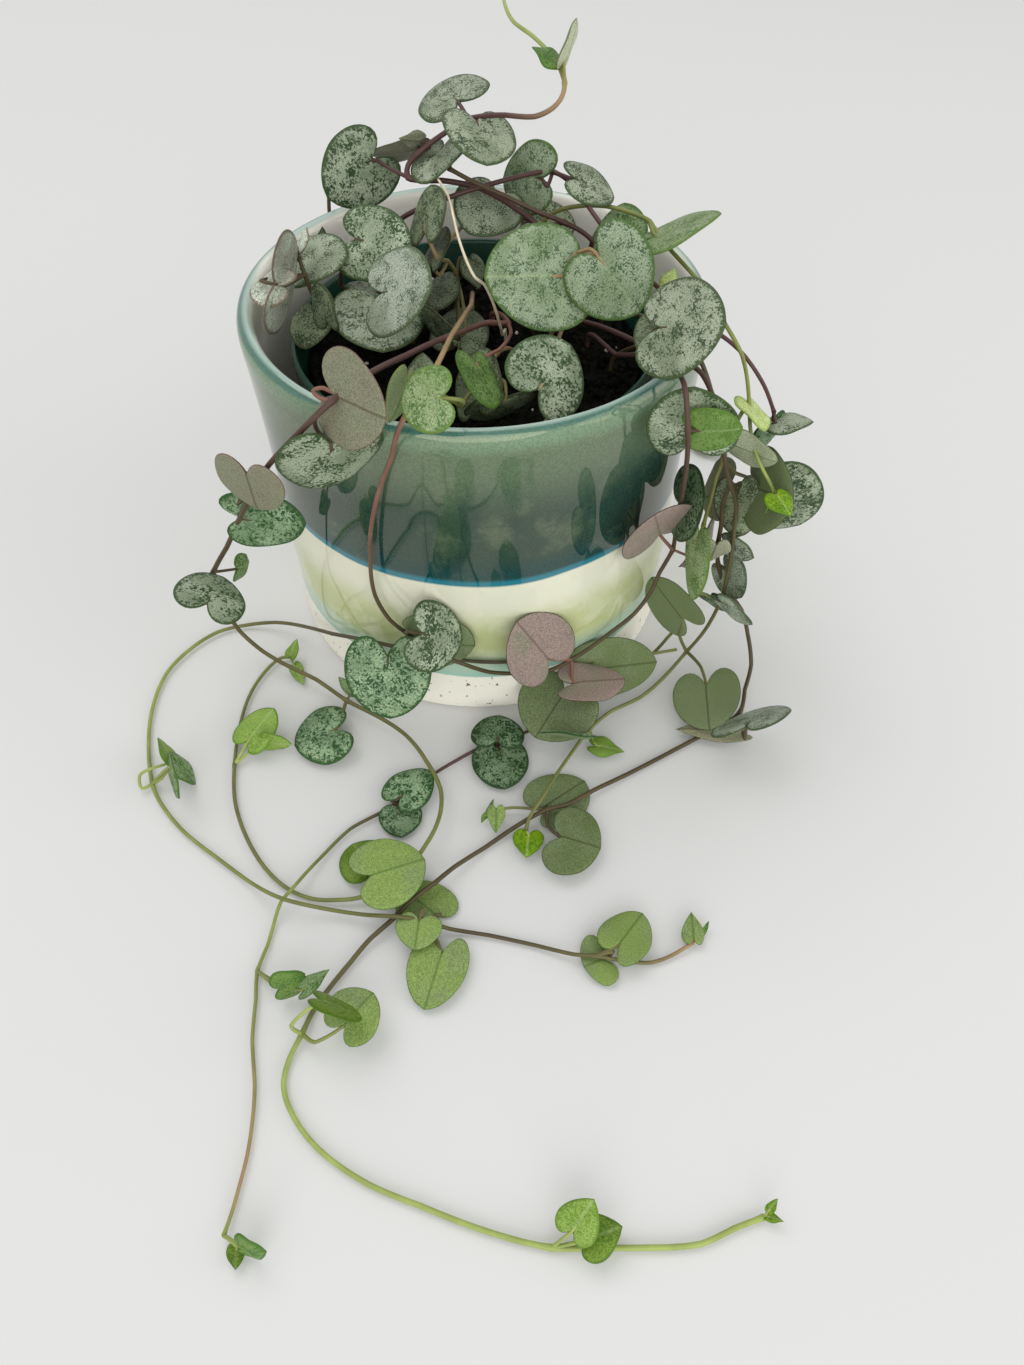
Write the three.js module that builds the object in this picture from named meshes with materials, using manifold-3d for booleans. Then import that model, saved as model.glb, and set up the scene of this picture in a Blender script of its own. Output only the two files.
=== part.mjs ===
// Potted string of hearts: a trailing plant in a thin plastic nursery pot, which stands in a glazed
// clay cup. Its stems come up through the soil, spill over the rim and lie along the surface that the
// cup stands on. Every leafy stem is one solid, with its petioles and heart-shaped leaves.
// Millimetres, +Z up, origin at the middle of the cup's flat foot. The front of the plant faces -Y.
import * as THREE from "three";
import { mergeVertices } from "three/addons/utils/BufferGeometryUtils.js";
import Module from "manifold-3d";

const wasm = await Module();
wasm.setup();

// Driving dimensions
const GAP = 0.3; // between pieces that touch
const CUP_HEIGHT = 70;
const CUP_SIDES = 32;
const CUP_FLOOR = 5;
const LIP_OUTER = 42; // radius
const LIP_INNER = 38.9;
const WALL = 3.2;
const NURSERY_RIM = 33.6; // outer radius of the rolled rim
const NURSERY_NECK = 32.2; // just below the rim
const NURSERY_TOP = 62.5;
const NURSERY_BASE = 25;
const NURSERY_WALL = 0.9;
const NURSERY_SIDES = 28;
const DRAIN_HOLE = 5;
const SOIL_TOP = 57;
const SOIL_HOLE_FLOOR = 51.5;
const STEM_FOOT = 52; // where a stem starts, inside its hole
const STEM_NECK = 60; // up to here a stem stands upright
const STEM_SIDES = 4;
const HOLE_SIDES = 6;
const LEAF_THICKNESS = 0.8;
const LEAF_DROOP = 0.04; // of the width: how far the sides bend down
const PETIOLE_RADIUS = 0.36;
const PETIOLE_TIP_RADIUS = 0.28; // inside the blade
const PETIOLE_REACH = 0.14; // of the blade: how far the petiole runs into it

// Each half of a heart, from the notch round to the tip: along the blade as a share of notch to
// tip, and sideways as a share of the full width.
const HEART = [[-0.29, 0.24], [-0.06, 0.48], [0.36, 0.45], [0.76, 0.2]];
const SMALL_HEART = [[-0.27, 0.25], [0.03, 0.5], [0.52, 0.36]];
const SMALL_WIDTH = 11.5; // narrower leaves take the plain outline

// One leaf: the route point its petiole grows from, its notch, its tip, its width, its roll about
// its own axis in degrees (0 lies level, 90 stands on edge), and what the petiole passes on the way.
function leaf(at, notch, tip, width, roll, via = []) {
  return { at, notch, tip, width, roll, via };
}

// The leafy stems. root is the place in the soil, radius goes from the foot to the far end, and the
// route is laid point by point, as the stem climbs out, hangs and lies.
const VINES = [
  {
    name: "vine_left",
    root: [3, 9],
    radius: [0.6, 0.4],
    route: [
      [6, -1, 64], [2.5, -4, 66], [-2, -12, 69], [-5.5, -18.5, 71.5], [-10, -28.5, 75],
      [-15, -36.5, 77], [-19.5, -44, 77.5], [-24.5, -45, 73], [-31, -43, 65], [-35, -40.5, 58],
      [-40, -36.5, 48], [-44, -34.5, 40], [-48, -33.5, 33], [-50, -29.5, 24], [-50.5, -26, 15],
      [-49.5, -25, 8], [-45, -27.5, 4.5], [-39, -31, 3.5], [-33, -34.5, 3.5], [-26.5, -39.5, 3],
      [-20, -43.5, 3], [-14, -48.5, 3.5], [-9.5, -55.5, 4.5], [-6.5, -61.5, 3.5], [-6.5, -67, 3],
      [-8.5, -73.5, 4], [-11.5, -78.5, 4.5], [-15.5, -81, 4], [-19, -83, 2], [-24, -83.5, 1.5],
      [-28.5, -83, 1], [-33, -81, 1], [-37.5, -77, 1], [-42, -70.5, 1], [-45.5, -62.5, 1],
      [-47, -54, 1], [-47.5, -45.5, 1], [-47, -37.5, 1], [-45, -31, 1], [-42, -26.5, 1],
      [-40, -26, 1],
    ],
    leaves: [
      leaf(0, [1, -29.5, 74], [4, -34.5, 69.5], 10, -35, [[6.5, -10, 67.5], [4.5, -20.5, 71]]),
      leaf(
        6, [-19, -42.5, 77.5], [-11, -49.5, 78.5], 14.5, -110,
        [[-21.5, -42.5, 77], [-22.5, -41.5, 77.5], [-21, -41.5, 78]],
      ),
      leaf(
        6, [-20.5, -44.5, 70], [-23.5, -40.5, 58.5], 17, -165,
        [[-22, -44.5, 75.5], [-22.5, -43, 71.5]],
      ),
      leaf(9, [-34.5, -43, 63.5], [-34.5, -41.5, 55], 12, 20, [[-36.5, -41, 60.5]]),
      leaf(9, [-39, -36.5, 48.5], [-28.5, -36.5, 47.5], 13.5, 95, [[-40, -36, 50]]),
      leaf(12, [-46.5, -44.5, 36], [-45.5, -35.5, 34], 12.5, 25, [[-49, -39, 35]]),
      leaf(12, [-44.5, -30.5, 31], [-43, -26.5, 29], 6, 95),
      leaf(19, [-28, -47, 3], [-36, -49.5, 1.5], 14, 0),
      leaf(28, [-18.5, -77, 1.5], [-22.5, -71.5, 1], 10, 0),
      leaf(28, [-17.5, -81, 5.5], [-8.5, -77.5, 5], 14, 180),
      leaf(35, [-44.5, -49.5, 3], [-40, -43.5, 5.5], 8.5, 0),
      leaf(35, [-41, -50, 3], [-36, -50.5, 3], 5, 80, [[-44, -51.5, 2]]),
    ],
  },
  {
    name: "vine_loop",
    root: [16, 6],
    radius: [0.5, 0.4],
    route: [
      [28.5, -15.5, 69], [31, -29, 74.5], [32.5, -37.5, 76], [33.5, -40.5, 70], [35, -36.5, 60.5],
      [36, -32.5, 50], [37, -26, 39], [37.5, -25, 31], [35.5, -26, 26], [34, -27.5, 22],
      [31, -29.5, 18], [26.5, -32.5, 16], [22, -36, 15], [18.5, -38, 14], [14, -40.5, 13.5],
      [8.5, -42, 14.5], [2.5, -43, 16], [-3, -44.5, 20.5], [-8.5, -44.5, 23], [-15, -41.5, 21.5],
      [-22.5, -35.5, 17], [-29.5, -29, 11.5], [-36.5, -22, 6], [-44, -17.5, 2.5], [-51, -17, 1],
      [-56.5, -19, 1], [-61.5, -24, 1], [-65, -30.5, 1], [-66, -39.5, 1], [-65, -48, 1],
      [-62, -58.5, 1], [-59, -63.5, 1], [-53.5, -69.5, 1], [-47, -74.5, 1], [-40.5, -79.5, 1.5],
      [-35.5, -83.5, 4], [-32.5, -85, 4.5], [-29, -85.5, 3.5], [-23, -86, 2], [-17.5, -87.5, 3.5],
      [-13, -88.5, 5], [-8.5, -88.5, 3.5], [-4, -89, 1.5], [3, -90, 1], [11.5, -92, 1],
      [17.5, -94, 2], [21, -94.5, 2.5], [25, -95, 2], [30.5, -95, 1], [34.5, -93.5, 1],
      [38, -91.5, 1.5],
    ],
    leaves: [
      leaf(3, [35, -37, 65.5], [34, -38, 76], 14.5, -145, [[35.5, -34, 63.5]]),
      leaf(3, [35.5, -38.5, 68.5], [42, -40, 70], 9.5, 100),
      leaf(7, [37, -26.5, 43.5], [40, -33, 50.5], 14, 70, [[37.5, -26, 37]]),
      leaf(7, [33.5, -30, 39.5], [31, -35.5, 49], 15.5, 50),
      leaf(13, [13.5, -42, 19], [7.5, -41, 28], 14.5, 135),
      leaf(13, [19, -42.5, 12], [29, -40.5, 10.5], 10, 180),
      leaf(19, [-16, -45, 22.5], [-16, -51.5, 12], 16, 0),
      leaf(30, [-57, -56.5, 5], [-53.5, -58.5, 1], 8, -45, [[-59.5, -59, 3.5]]),
      leaf(30, [-56.5, -59.5, 8], [-54, -66, 7], 7, 75),
      leaf(41, [-6.5, -86, 0.5], [-13, -80.5, 0.5], 10.5, 180, [[-5.5, -87, 3]]),
      leaf(41, [-9, -89, 4], [-9.5, -94, 3.5], 8, 180, [[-8.5, -87, 5]]),
      leaf(41, [-5, -94, 2], [-7.5, -103.5, 1.5], 10, 180),
      leaf(46, [25, -93, 3.5], [29.5, -87, 3], 9, 180),
      leaf(46, [22.5, -94.5, 1], [19, -96, 1], 9.5, 180, [[24, -94, 3]]),
    ],
  },
  {
    name: "vine_front",
    root: [-1, 15],
    radius: [0.5, 0.4],
    route: [
      [-0.5, -3.5, 69], [-3, -22.5, 75], [-5, -37, 78], [-7.5, -44.5, 78], [-10, -46, 74],
      [-11.5, -44, 68], [-14.5, -41, 59], [-17, -39.5, 49], [-18, -38.5, 41], [-18, -38.5, 32],
      [-15.5, -40, 27], [-12.5, -40.5, 24], [-8.5, -40, 19.5], [-4, -40.5, 17], [4, -40.5, 16],
      [12.5, -38.5, 14.5], [18.5, -35.5, 12], [23.5, -34, 10], [29.5, -32, 8], [35.5, -29, 5.5],
      [41.5, -26, 3.5],
    ],
    leaves: [
      leaf(11, [-9, -47, 31], [-2, -43.5, 25.5], 13, 50, [[-11.5, -46, 30.5]]),
      leaf(11, [-10.5, -41, 23.5], [0, -41, 21.5], 14.5, -90),
      leaf(17, [17, -43, 9], [11.5, -50.5, 5], 16.5, 180, [[21.5, -39, 10.5]]),
      leaf(17, [23.5, -36, 9], [36.5, -31.5, 6], 12, -125),
    ],
  },
  {
    name: "vine_right",
    root: [21, 2],
    radius: [0.5, 0.4],
    route: [
      [25, -10, 63.5], [31, -19.5, 70], [33.5, -30, 75], [35.5, -33.5, 75.5], [37, -36.5, 74],
      [40, -35, 66], [42, -33, 58.5], [44.5, -30, 51], [46.5, -29, 46], [47.5, -28, 38.5],
      [48, -28, 32], [48, -28.5, 26], [48, -27.5, 19], [46.5, -28, 13], [45, -27.5, 8],
      [43.5, -27, 4], [38.5, -32, 1.5], [33, -37.5, 1.5], [27, -41, 1.5], [22.5, -45.5, 1.5],
      [19.5, -50, 1.5], [15.5, -57.5, 3], [12.5, -64, 4.5], [10, -68, 3.5], [9.5, -69.5, 2],
    ],
    leaves: [
      leaf(7, [51, -25, 46], [54.5, -34.5, 51], 15.5, -105, [[48.5, -24.5, 46]]),
      leaf(7, [47, -19, 41.5], [44, -15, 34.5], 12, 120),
      leaf(7, [47.5, -25, 45], [49, -26, 35], 9, 70),
      leaf(15, [41.5, -26.5, 14], [35, -21.5, 20.5], 14.5, 85, [[41.5, -26.5, 8.5]]),
      leaf(15, [46, -38, 6], [46, -47.5, 3.5], 13.5, -155, [[45.5, -33, 6]]),
      leaf(19, [23.5, -50, 2], [29, -51.5, 2], 5, 0),
      leaf(19, [20, -53.5, 10], [12, -52.5, 10], 10, 55),
      leaf(24, [10, -70.5, 2], [9.5, -75.5, 2.5], 6, 0),
    ],
    branches: [
      {
        from: 7,
        radius: [0.5, 0.5],
        route: [
          [45, -26, 43], [45.5, -26, 38], [45.5, -26.5, 34], [46.5, -26, 28], [49, -26.5, 22],
          [53, -26.5, 16], [55, -28, 10.5], [56, -32, 5.5], [54.5, -36.5, 3], [53, -41.5, 2],
          [48.5, -44.5, 1], [43.5, -47.5, 1], [37, -51.5, 1], [29.5, -56, 1], [22.5, -60.5, 2],
          [17, -64.5, 3], [13.5, -65.5, 3], [8.5, -68, 2], [2, -72.5, 1], [-3.5, -77.5, 2.5],
          [-6.5, -81, 3.5], [-11, -85, 3.5], [-13.5, -87.5, 2.5], [-17.5, -91, 1.5],
          [-20.5, -95, 1], [-23.5, -99.5, 1], [-26, -104, 1], [-27, -107.5, 1.5], [-28.5, -111, 1],
          [-29, -115.5, 1], [-27, -120, 1], [-22.5, -125, 1], [-14.5, -130, 1], [-6.5, -133, 1],
          [2, -136, 1], [12.5, -138.5, 1], [19.5, -138.5, 1], [26.5, -138.5, 1], [34, -138, 1],
          [39, -136, 1], [43.5, -134.5, 1],
        ],
        leaves: [
          leaf(2, [44.5, -29, 36], [44, -28.5, 31.5], 6, 50),
          leaf(2, [47.5, -26.5, 33.5], [52, -29.5, 33], 7, 100),
          leaf(3, [48, -26, 27], [51, -31, 24], 9.5, 80),
          leaf(4, [48, -31, 22.5], [53, -35, 20.5], 9, 115),
          leaf(9, [50.5, -54, 13.5], [56.5, -45.5, 9], 15.5, -40, [[50.5, -55, 11]]),
          leaf(9, [51, -46.5, 2], [39.5, -46, 2], 6, 180),
          leaf(16, [13.5, -63.5, 1], [21, -57.5, 0.5], 12, 180),
          leaf(16, [16, -72, 3.5], [23, -74, 3], 15, 180, [[13.5, -69, 3]]),
          leaf(
            27, [-22.5, -106, 10.5], [-16.5, -108, 8.5], 9.5, -55,
            [[-28, -108, 6], [-26, -106.5, 7.5]],
          ),
          leaf(27, [-19.5, -107, 4.5], [-15.5, -102.5, 6], 9.5, 180, [[-24.5, -109.5, 3]]),
          leaf(35, [15.5, -137, 5], [18.5, -133.5, 7], 6.5, 0),
          leaf(35, [17.5, -138, 3.5], [22.5, -136.5, 4.5], 6.5, 0),
        ],
        branches: [
          {
            from: 16,
            radius: [0.35, 0.3],
            route: [
              [10.5, -65, 2.5], [7, -64.5, 2], [3.5, -65, 2],
            ],
            leaves: [],
          },
        ],
      },
    ],
  },
  {
    name: "vine_long",
    root: [24, 9],
    radius: [0.45, 0.35],
    route: [
      [36, -27.5, 74.5], [38.5, -30, 69.5], [41.5, -29.5, 62], [42.5, -29.5, 56], [42, -29.5, 52],
      [42, -28.5, 46], [42, -27, 39], [42, -26.5, 31], [42, -27, 22], [42, -25, 12],
      [39.5, -24.5, 5.5], [37, -25.5, 2], [31.5, -30, 1.5], [26, -35, 1], [18.5, -41, 1],
      [10.5, -45.5, 1], [4, -49, 1], [0.5, -50, 1], [-4, -53, 1], [-8, -56, 1], [-11.5, -59.5, 1],
      [-15, -63, 1], [-18.5, -65.5, 1], [-23, -68.5, 1], [-27, -73.5, 1], [-30, -78.5, 2],
      [-32, -82.5, 3], [-33.5, -84.5, 2.5], [-34.5, -88, 1], [-35, -92, 1], [-36, -96.5, 1],
      [-35.5, -101.5, 1], [-35, -108.5, 1], [-33.5, -115.5, 1], [-33, -121, 1], [-33, -126, 1],
      [-33.5, -130.5, 1], [-34, -134, 1], [-34.5, -137, 1.5],
    ],
    leaves: [
      leaf(3, [55.5, -16.5, 39.5], [64, -16, 28.5], 18, 100, [[46.5, -24.5, 49]]),
      leaf(6, [41, -29, 37], [41, -31.5, 24], 9, 70),
      leaf(7, [43.5, -25, 29.5], [43.5, -25.5, 39.5], 8, 65),
      leaf(8, [47, -24.5, 17.5], [50.5, -24.5, 13.5], 7.5, 130),
      leaf(16, [4, -49.5, 3], [4.5, -43.5, 3.5], 10.5, 0),
      leaf(16, [4.5, -51.5, 2], [5.5, -60, 1.5], 11, 0),
      leaf(21, [-14, -62.5, 2.5], [-9, -56, 2.5], 9, 0, [[-16, -62.5, 2]]),
      leaf(21, [-14, -65, 1.5], [-13.5, -70.5, 1], 8, 0),
      leaf(30, [-31, -101, 4.5], [-27, -99, 5], 8, 80),
      leaf(38, [-31, -139, 4], [-27.5, -140, 4.5], 7, 80),
    ],
  },
  {
    name: "vine_young",
    root: [11, 19],
    radius: [0.5, 0.35],
    route: [
      [11, 12, 71], [12, 13.5, 75], [14, 14, 77], [18, 12.5, 79], [23.5, 10.5, 80], [29, 7, 80],
      [30.5, 5, 80], [32.5, 0, 79], [37.5, -10, 77.5], [41, -21.5, 76], [43.5, -25, 73],
      [47, -22, 62], [47, -25.5, 60], [47.5, -27, 58], [49, -29.5, 55], [51, -30.5, 52],
      [52.5, -31, 49.5],
    ],
    leaves: [
      leaf(6, [31.5, 0.5, 79.5], [41.5, -1, 84.5], 15.5, -10),
      leaf(11, [47, -22, 61.5], [49.5, -27, 60], 8, -30),
      leaf(11, [45.5, -26, 56.5], [52, -29.5, 55.5], 10.5, -65, [[45, -24.5, 60]]),
      leaf(16, [51.5, -35, 52.5], [53.5, -38.5, 51], 6, -10),
    ],
  },
  {
    name: "vine_over",
    root: [-9, 17],
    radius: [0.55, 0.4],
    route: [
      [-15.5, 18.5, 70], [-13, 14.5, 76], [-6, 13.5, 79.5], [-0.5, 14.5, 81], [4.5, 15.5, 82],
      [8, 17.5, 82], [14, 19.5, 82], [18, 12.5, 82], [20, 7, 81.5], [23.5, -0.5, 80],
      [28.5, -5, 76.5], [33.5, -10, 74], [37.5, -16, 73.5], [41.5, -19, 72.5], [45.5, -19, 69],
      [49.5, -20, 64], [52.5, -19, 58],
    ],
    leaves: [
      leaf(6, [12, 19, 81], [5, 24.5, 78.5], 12.5, -65, [[13, 17, 80.5]]),
      leaf(6, [18, 11.5, 84], [25, 12.5, 81], 10.5, 15),
      leaf(16, [53, -20.5, 56.5], [59, -21.5, 58], 8, -10),
      leaf(16, [52.5, -19.5, 56], [52, -19.5, 50.5], 7.5, -125),
    ],
  },
  {
    name: "vine_top",
    root: [12, 13],
    radius: [0.65, 0.4],
    route: [
      [12.5, 9.5, 72], [11.5, 10.5, 76], [7.5, 12.5, 78.5], [0.5, 17.5, 80], [-6, 18, 81],
      [-12, 18, 81.5], [-12, 19.5, 83], [-10, 20, 85], [-5.5, 20.5, 88], [-1, 20.5, 90.5],
      [5.5, 16, 93], [10.5, 13, 94], [13.5, 14, 95], [15, 16, 96], [15.5, 19, 97], [15, 23, 98],
      [13, 28.5, 98.5], [10, 35, 99], [7, 41, 99], [5.5, 48.5, 99], [5, 54, 99],
    ],
    leaves: [
      leaf(5, [-19, 24, 82], [-27.5, 20.5, 76.5], 14.5, -80, [[-15.5, 20.5, 82]]),
      leaf(9, [-3, 25.5, 91.5], [-7.5, 34.5, 91], 13.5, -20),
      leaf(9, [0.5, 18, 91], [2.5, 8.5, 88], 13.5, -15),
      leaf(7, [-11, 28, 82.5], [-19.5, 26.5, 82], 12, 40),
      leaf(14, [14, 24.5, 98.5], [10, 25, 100.5], 6.5, -5),
      leaf(14, [15.5, 23.5, 99.5], [17.5, 24.5, 105], 8, -45),
    ],
  },
  {
    name: "shoot_back",
    root: [17, 15],
    radius: [0.55, 0.45],
    route: [
      [21, 8, 75], [16, 8.5, 78], [11, 8.5, 80], [5.5, 10, 82], [-0.5, 12.5, 83.5],
      [-4.5, 15, 84.5],
    ],
    leaves: [
      leaf(5, [-5.5, 21.5, 85.5], [-8.5, 13, 83], 12, 25, [[-4, 23.5, 84]]),
      leaf(1, [10, 23, 71], [19, 23.5, 70], 12, 25, [[8.5, 24, 69.5]]),
    ],
  },
  {
    name: "shoot_left",
    root: [-22, 5],
    radius: [0.5, 0.4],
    route: [
      [-28.5, 1.5, 67], [-29.5, -0.5, 73], [-30.5, 1.5, 75],
    ],
    leaves: [
      leaf(1, [-33, -9, 76], [-31.5, 2, 70.5], 17, 100, [[-35.5, -8, 76]]),
      leaf(1, [-32, -9, 75.5], [-38, -7, 74], 8.5, -20),
      leaf(0, [-28.5, -2.5, 66.5], [-30, -8.5, 63.5], 9.5, 15),
      leaf(0, [-25.5, -7.5, 68.5], [-26.5, -5.5, 74.5], 8.5, -75, [[-24, -5.5, 66.5]]),
    ],
  },
  {
    name: "shoot_tall",
    root: [-17, 11],
    radius: [0.5, 0.4],
    route: [
      [-25, 8.5, 66], [-23.5, 7.5, 71], [-22, 8.5, 74],
    ],
    leaves: [
      leaf(2, [-21, 8, 75], [-11, 4.5, 75], 14, 40),
      leaf(1, [-31.5, 7, 71.5], [-22.5, 4.5, 74], 12.5, 20, [[-27.5, 7.5, 68.5]]),
      leaf(0, [-18.5, 5, 66.5], [-23.5, 4, 68.5], 8, 5, [[-17.5, 2.5, 65.5]]),
    ],
  },
  {
    name: "shoot_middle",
    root: [-12, 3],
    radius: [0.5, 0.4],
    route: [
      [-15.5, -2.5, 67], [-15, -8, 73],
    ],
    leaves: [
      leaf(1, [-14.5, -13.5, 77], [-6, -19, 82], 15, 45),
      leaf(0, [-17, -1.5, 68.5], [-15.5, -13.5, 66], 16.5, -5, [[-17.5, 0, 67]]),
    ],
  },
  {
    name: "shoot_centre",
    root: [-4, 8],
    radius: [0.55, 0.4],
    route: [
      [-3.5, 11, 66], [-5, 8, 71], [-6.5, 3.5, 74], [-2.5, 15, 74],
    ],
    leaves: [
      leaf(3, [3.5, 17.5, 78], [-1, 9.5, 75.5], 13, -20, [[1.5, 17.5, 75]]),
      leaf(1, [-7.5, 5.5, 72], [-5, 10, 76.5], 9.5, -40, [[-6.5, 5, 70]]),
      leaf(0, [-8.5, 6, 64], [-5, 12.5, 66.5], 10.5, -20, [[-8.5, 5, 61.5]]),
      leaf(0, [-3, -1.5, 60.5], [-2, 9, 61.5], 11, 0, [[-3, -3, 58.5]]),
      leaf(2, [-8.5, 6, 78], [-7.5, 12, 83], 11, -45),
      leaf(0, [-1, 13.5, 68], [0.5, 10.5, 64], 7, -30, [[-3, 15, 68]]),
      leaf(0, [-4.5, -7.5, 65.5], [-10, -5, 70], 10.5, -120, [[-2, -6.5, 65]]),
    ],
  },
  {
    name: "shoot_front",
    root: [7, -4],
    radius: [0.5, 0.4],
    route: [
      [4.5, -10, 64], [1.5, -19.5, 65], [-1.5, -31.5, 68],
    ],
    leaves: [
      leaf(2, [-3.5, -47.5, 80.5], [-9.5, -46, 78.5], 9.5, -45, [[-1, -45, 78.5]]),
      leaf(1, [1, -26, 65], [1.5, -19.5, 71], 12, -45, [[2.5, -26.5, 63]]),
      leaf(1, [5.5, -27, 66], [1.5, -23.5, 59], 12, -155, [[5.5, -26, 68.5]]),
      leaf(2, [-7, -30, 70.5], [-7.5, -26, 74], 7, 30),
      leaf(2, [-9.5, -37.5, 76.5], [-12, -41, 71.5], 9, 80),
    ],
  },
  {
    name: "shoot_right",
    root: [14, 2],
    radius: [0.55, 0.4],
    route: [
      [17, 0, 67], [15, -5, 74], [16, -6, 78], [17.5, -6, 80],
    ],
    leaves: [
      leaf(1, [15, -8, 77], [2, -11, 78.5], 18, -40),
      leaf(3, [21, -9.5, 81], [27.5, -16, 75], 15.5, 50, [[19.5, -6.5, 81]]),
      leaf(0, [11, -28.5, 69], [16.5, -20, 72], 14.5, 40, [[14, -15.5, 68]]),
      leaf(3, [25, 8, 73.5], [27, 15, 78.5], 12, -25),
    ],
  },
  {
    name: "shoot_side",
    root: [25, -6],
    radius: [0.5, 0.4],
    route: [
      [29, -11, 66], [29.5, -20, 74],
    ],
    leaves: [
      leaf(1, [29, -31, 81.5], [37, -37, 86], 15.5, 50),
      leaf(0, [29.5, -23, 77], [27.5, -34, 76.5], 7, 0),
    ],
  },
  {
    name: "vine_back",
    root: [8, 26],
    radius: [0.5, 0.4],
    route: [
      [9, 31, 68], [10, 37, 74.5], [11, 42, 75.5], [12, 44.5, 71], [12.5, 43.5, 62],
      [12.5, 43, 52], [13, 42.5, 42], [13.5, 42.5, 32], [13, 42, 22], [13, 41.5, 12], [14, 43, 5],
      [18, 47, 2], [24, 51, 1], [32, 55, 1], [40, 57, 1], [47, 55.5, 1], [53, 51, 1],
    ],
    leaves: [
      leaf(4, [18, 44.5, 61], [27, 42, 54], 14, -80),
      leaf(4, [8, 46, 60], [-0.5, 46.5, 54], 13, 100),
      leaf(6, [7.5, 44.5, 41], [-0.5, 44.5, 35], 12, 80),
      leaf(7, [18.5, 43, 30], [26, 39, 24], 12.5, -85),
      leaf(9, [18, 42.5, 11.5], [25.5, 41, 6.5], 11.5, -65),
      leaf(13, [34, 61, 3], [32.5, 69, 2], 12.5, 0),
      leaf(13, [33, 51, 2], [36, 43.5, 2.5], 11, 0),
      leaf(16, [56.5, 48, 1.5], [61, 42.5, 2.5], 9, 0),
    ],
  },
  {
    name: "vine_behind",
    root: [-16, 20],
    radius: [0.5, 0.4],
    route: [
      [-20, 24, 68], [-24, 29, 75], [-27, 33.5, 76], [-29.5, 35.5, 71], [-30, 34, 62],
      [-30, 33, 52], [-29.5, 32.5, 42], [-29, 32.5, 34],
    ],
    leaves: [
      leaf(4, [-24, 38, 61], [-15.5, 42.5, 55], 14, -75),
      leaf(4, [-36, 32, 60], [-42.5, 24, 54], 13.5, 75),
      leaf(6, [-24, 37, 40], [-17, 41, 34], 12, -80),
      leaf(7, [-31, 34, 31], [-34, 33, 24], 9, 85),
    ],
  },
];

// A pale, dried flower stalk that stands among the leaves.
const DRY_STEM = {
  name: "dry_stem",
  root: [5.5, 3.5],
  radius: [0.35, 0.25],
  route: [
    [5, -3, 63], [4, -7.5, 70], [2, -8, 75.5], [0.5, -8.5, 77], [-2.5, -0.5, 80], [-4.5, 9, 82.5],
    [-6.5, 13.5, 83.5],
  ],
  leaves: [],
};

function vector([x, y, z]) {
  return new THREE.Vector3(x, y, z);
}

function geometryFrom(points, faces) {
  const geometry = new THREE.BufferGeometry();
  const places = points.flatMap((point) => point.toArray());
  geometry.setAttribute("position", new THREE.Float32BufferAttribute(places, 3));
  geometry.setIndex(faces.flat());
  return geometry;
}

function solidFrom(geometry) {
  const bare = geometry.clone();
  bare.deleteAttribute("normal");
  bare.deleteAttribute("uv");
  const merged = mergeVertices(bare, 1e-4);
  return new wasm.Manifold(
    new wasm.Mesh({
      numProp: 3,
      vertProperties: new Float32Array(merged.attributes.position.array),
      triVerts: new Uint32Array(merged.index.array),
    }),
  );
}

function geometryOf(solid) {
  const mesh = solid.getMesh();
  const geometry = new THREE.BufferGeometry();
  geometry.setAttribute("position", new THREE.BufferAttribute(mesh.vertProperties, 3));
  geometry.setIndex(new THREE.BufferAttribute(mesh.triVerts, 1));
  return geometry;
}

// Joins closed shapes into one body. A hollow that the join seals is filled, and a scrap is dropped.
function joined(geometries) {
  const whole = geometries.map(solidFrom).reduce((body, piece) => body.add(piece));
  const larger = (body, piece) => (piece.volume() > body.volume() ? piece : body);
  return geometryOf(whole.decompose().reduce(larger));
}

// A closed tube through the points, whose radius goes evenly from one end to the other. Each ring is
// square to the tube's direction there and keeps the turn of the ring before it.
function tube(points, startRadius, endRadius, sides) {
  const steps = points.length - 1;
  const across = new THREE.Vector3(0.6, 0.64, 0.48);
  const rings = points.map((centre, step) => {
    const ahead = points[Math.min(step + 1, steps)].clone().sub(centre).normalize();
    const behind = centre.clone().sub(points[Math.max(step - 1, 0)]).normalize();
    const direction = ahead.add(behind).normalize();
    across.addScaledVector(direction, -across.dot(direction)).normalize();
    const up = direction.clone().cross(across);
    const radius = startRadius + ((endRadius - startRadius) * step) / steps;
    return Array.from({ length: sides }, (_, side) => {
      const angle = (2 * Math.PI * side) / sides;
      return centre
        .clone()
        .addScaledVector(across, radius * Math.cos(angle))
        .addScaledVector(up, radius * Math.sin(angle));
    });
  });
  const faces = [];
  for (let step = 0; step < steps; step += 1) {
    for (let side = 0; side < sides; side += 1) {
      const a = step * sides + side;
      const b = step * sides + ((side + 1) % sides);
      faces.push([a, b, b + sides], [a, b + sides, a + sides]);
    }
  }
  for (let side = 1; side < sides - 1; side += 1) {
    const last = steps * sides;
    faces.push([0, side + 1, side], [last, last + side, last + side + 1]);
  }
  return geometryFrom(rings.flat(), faces);
}

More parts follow.
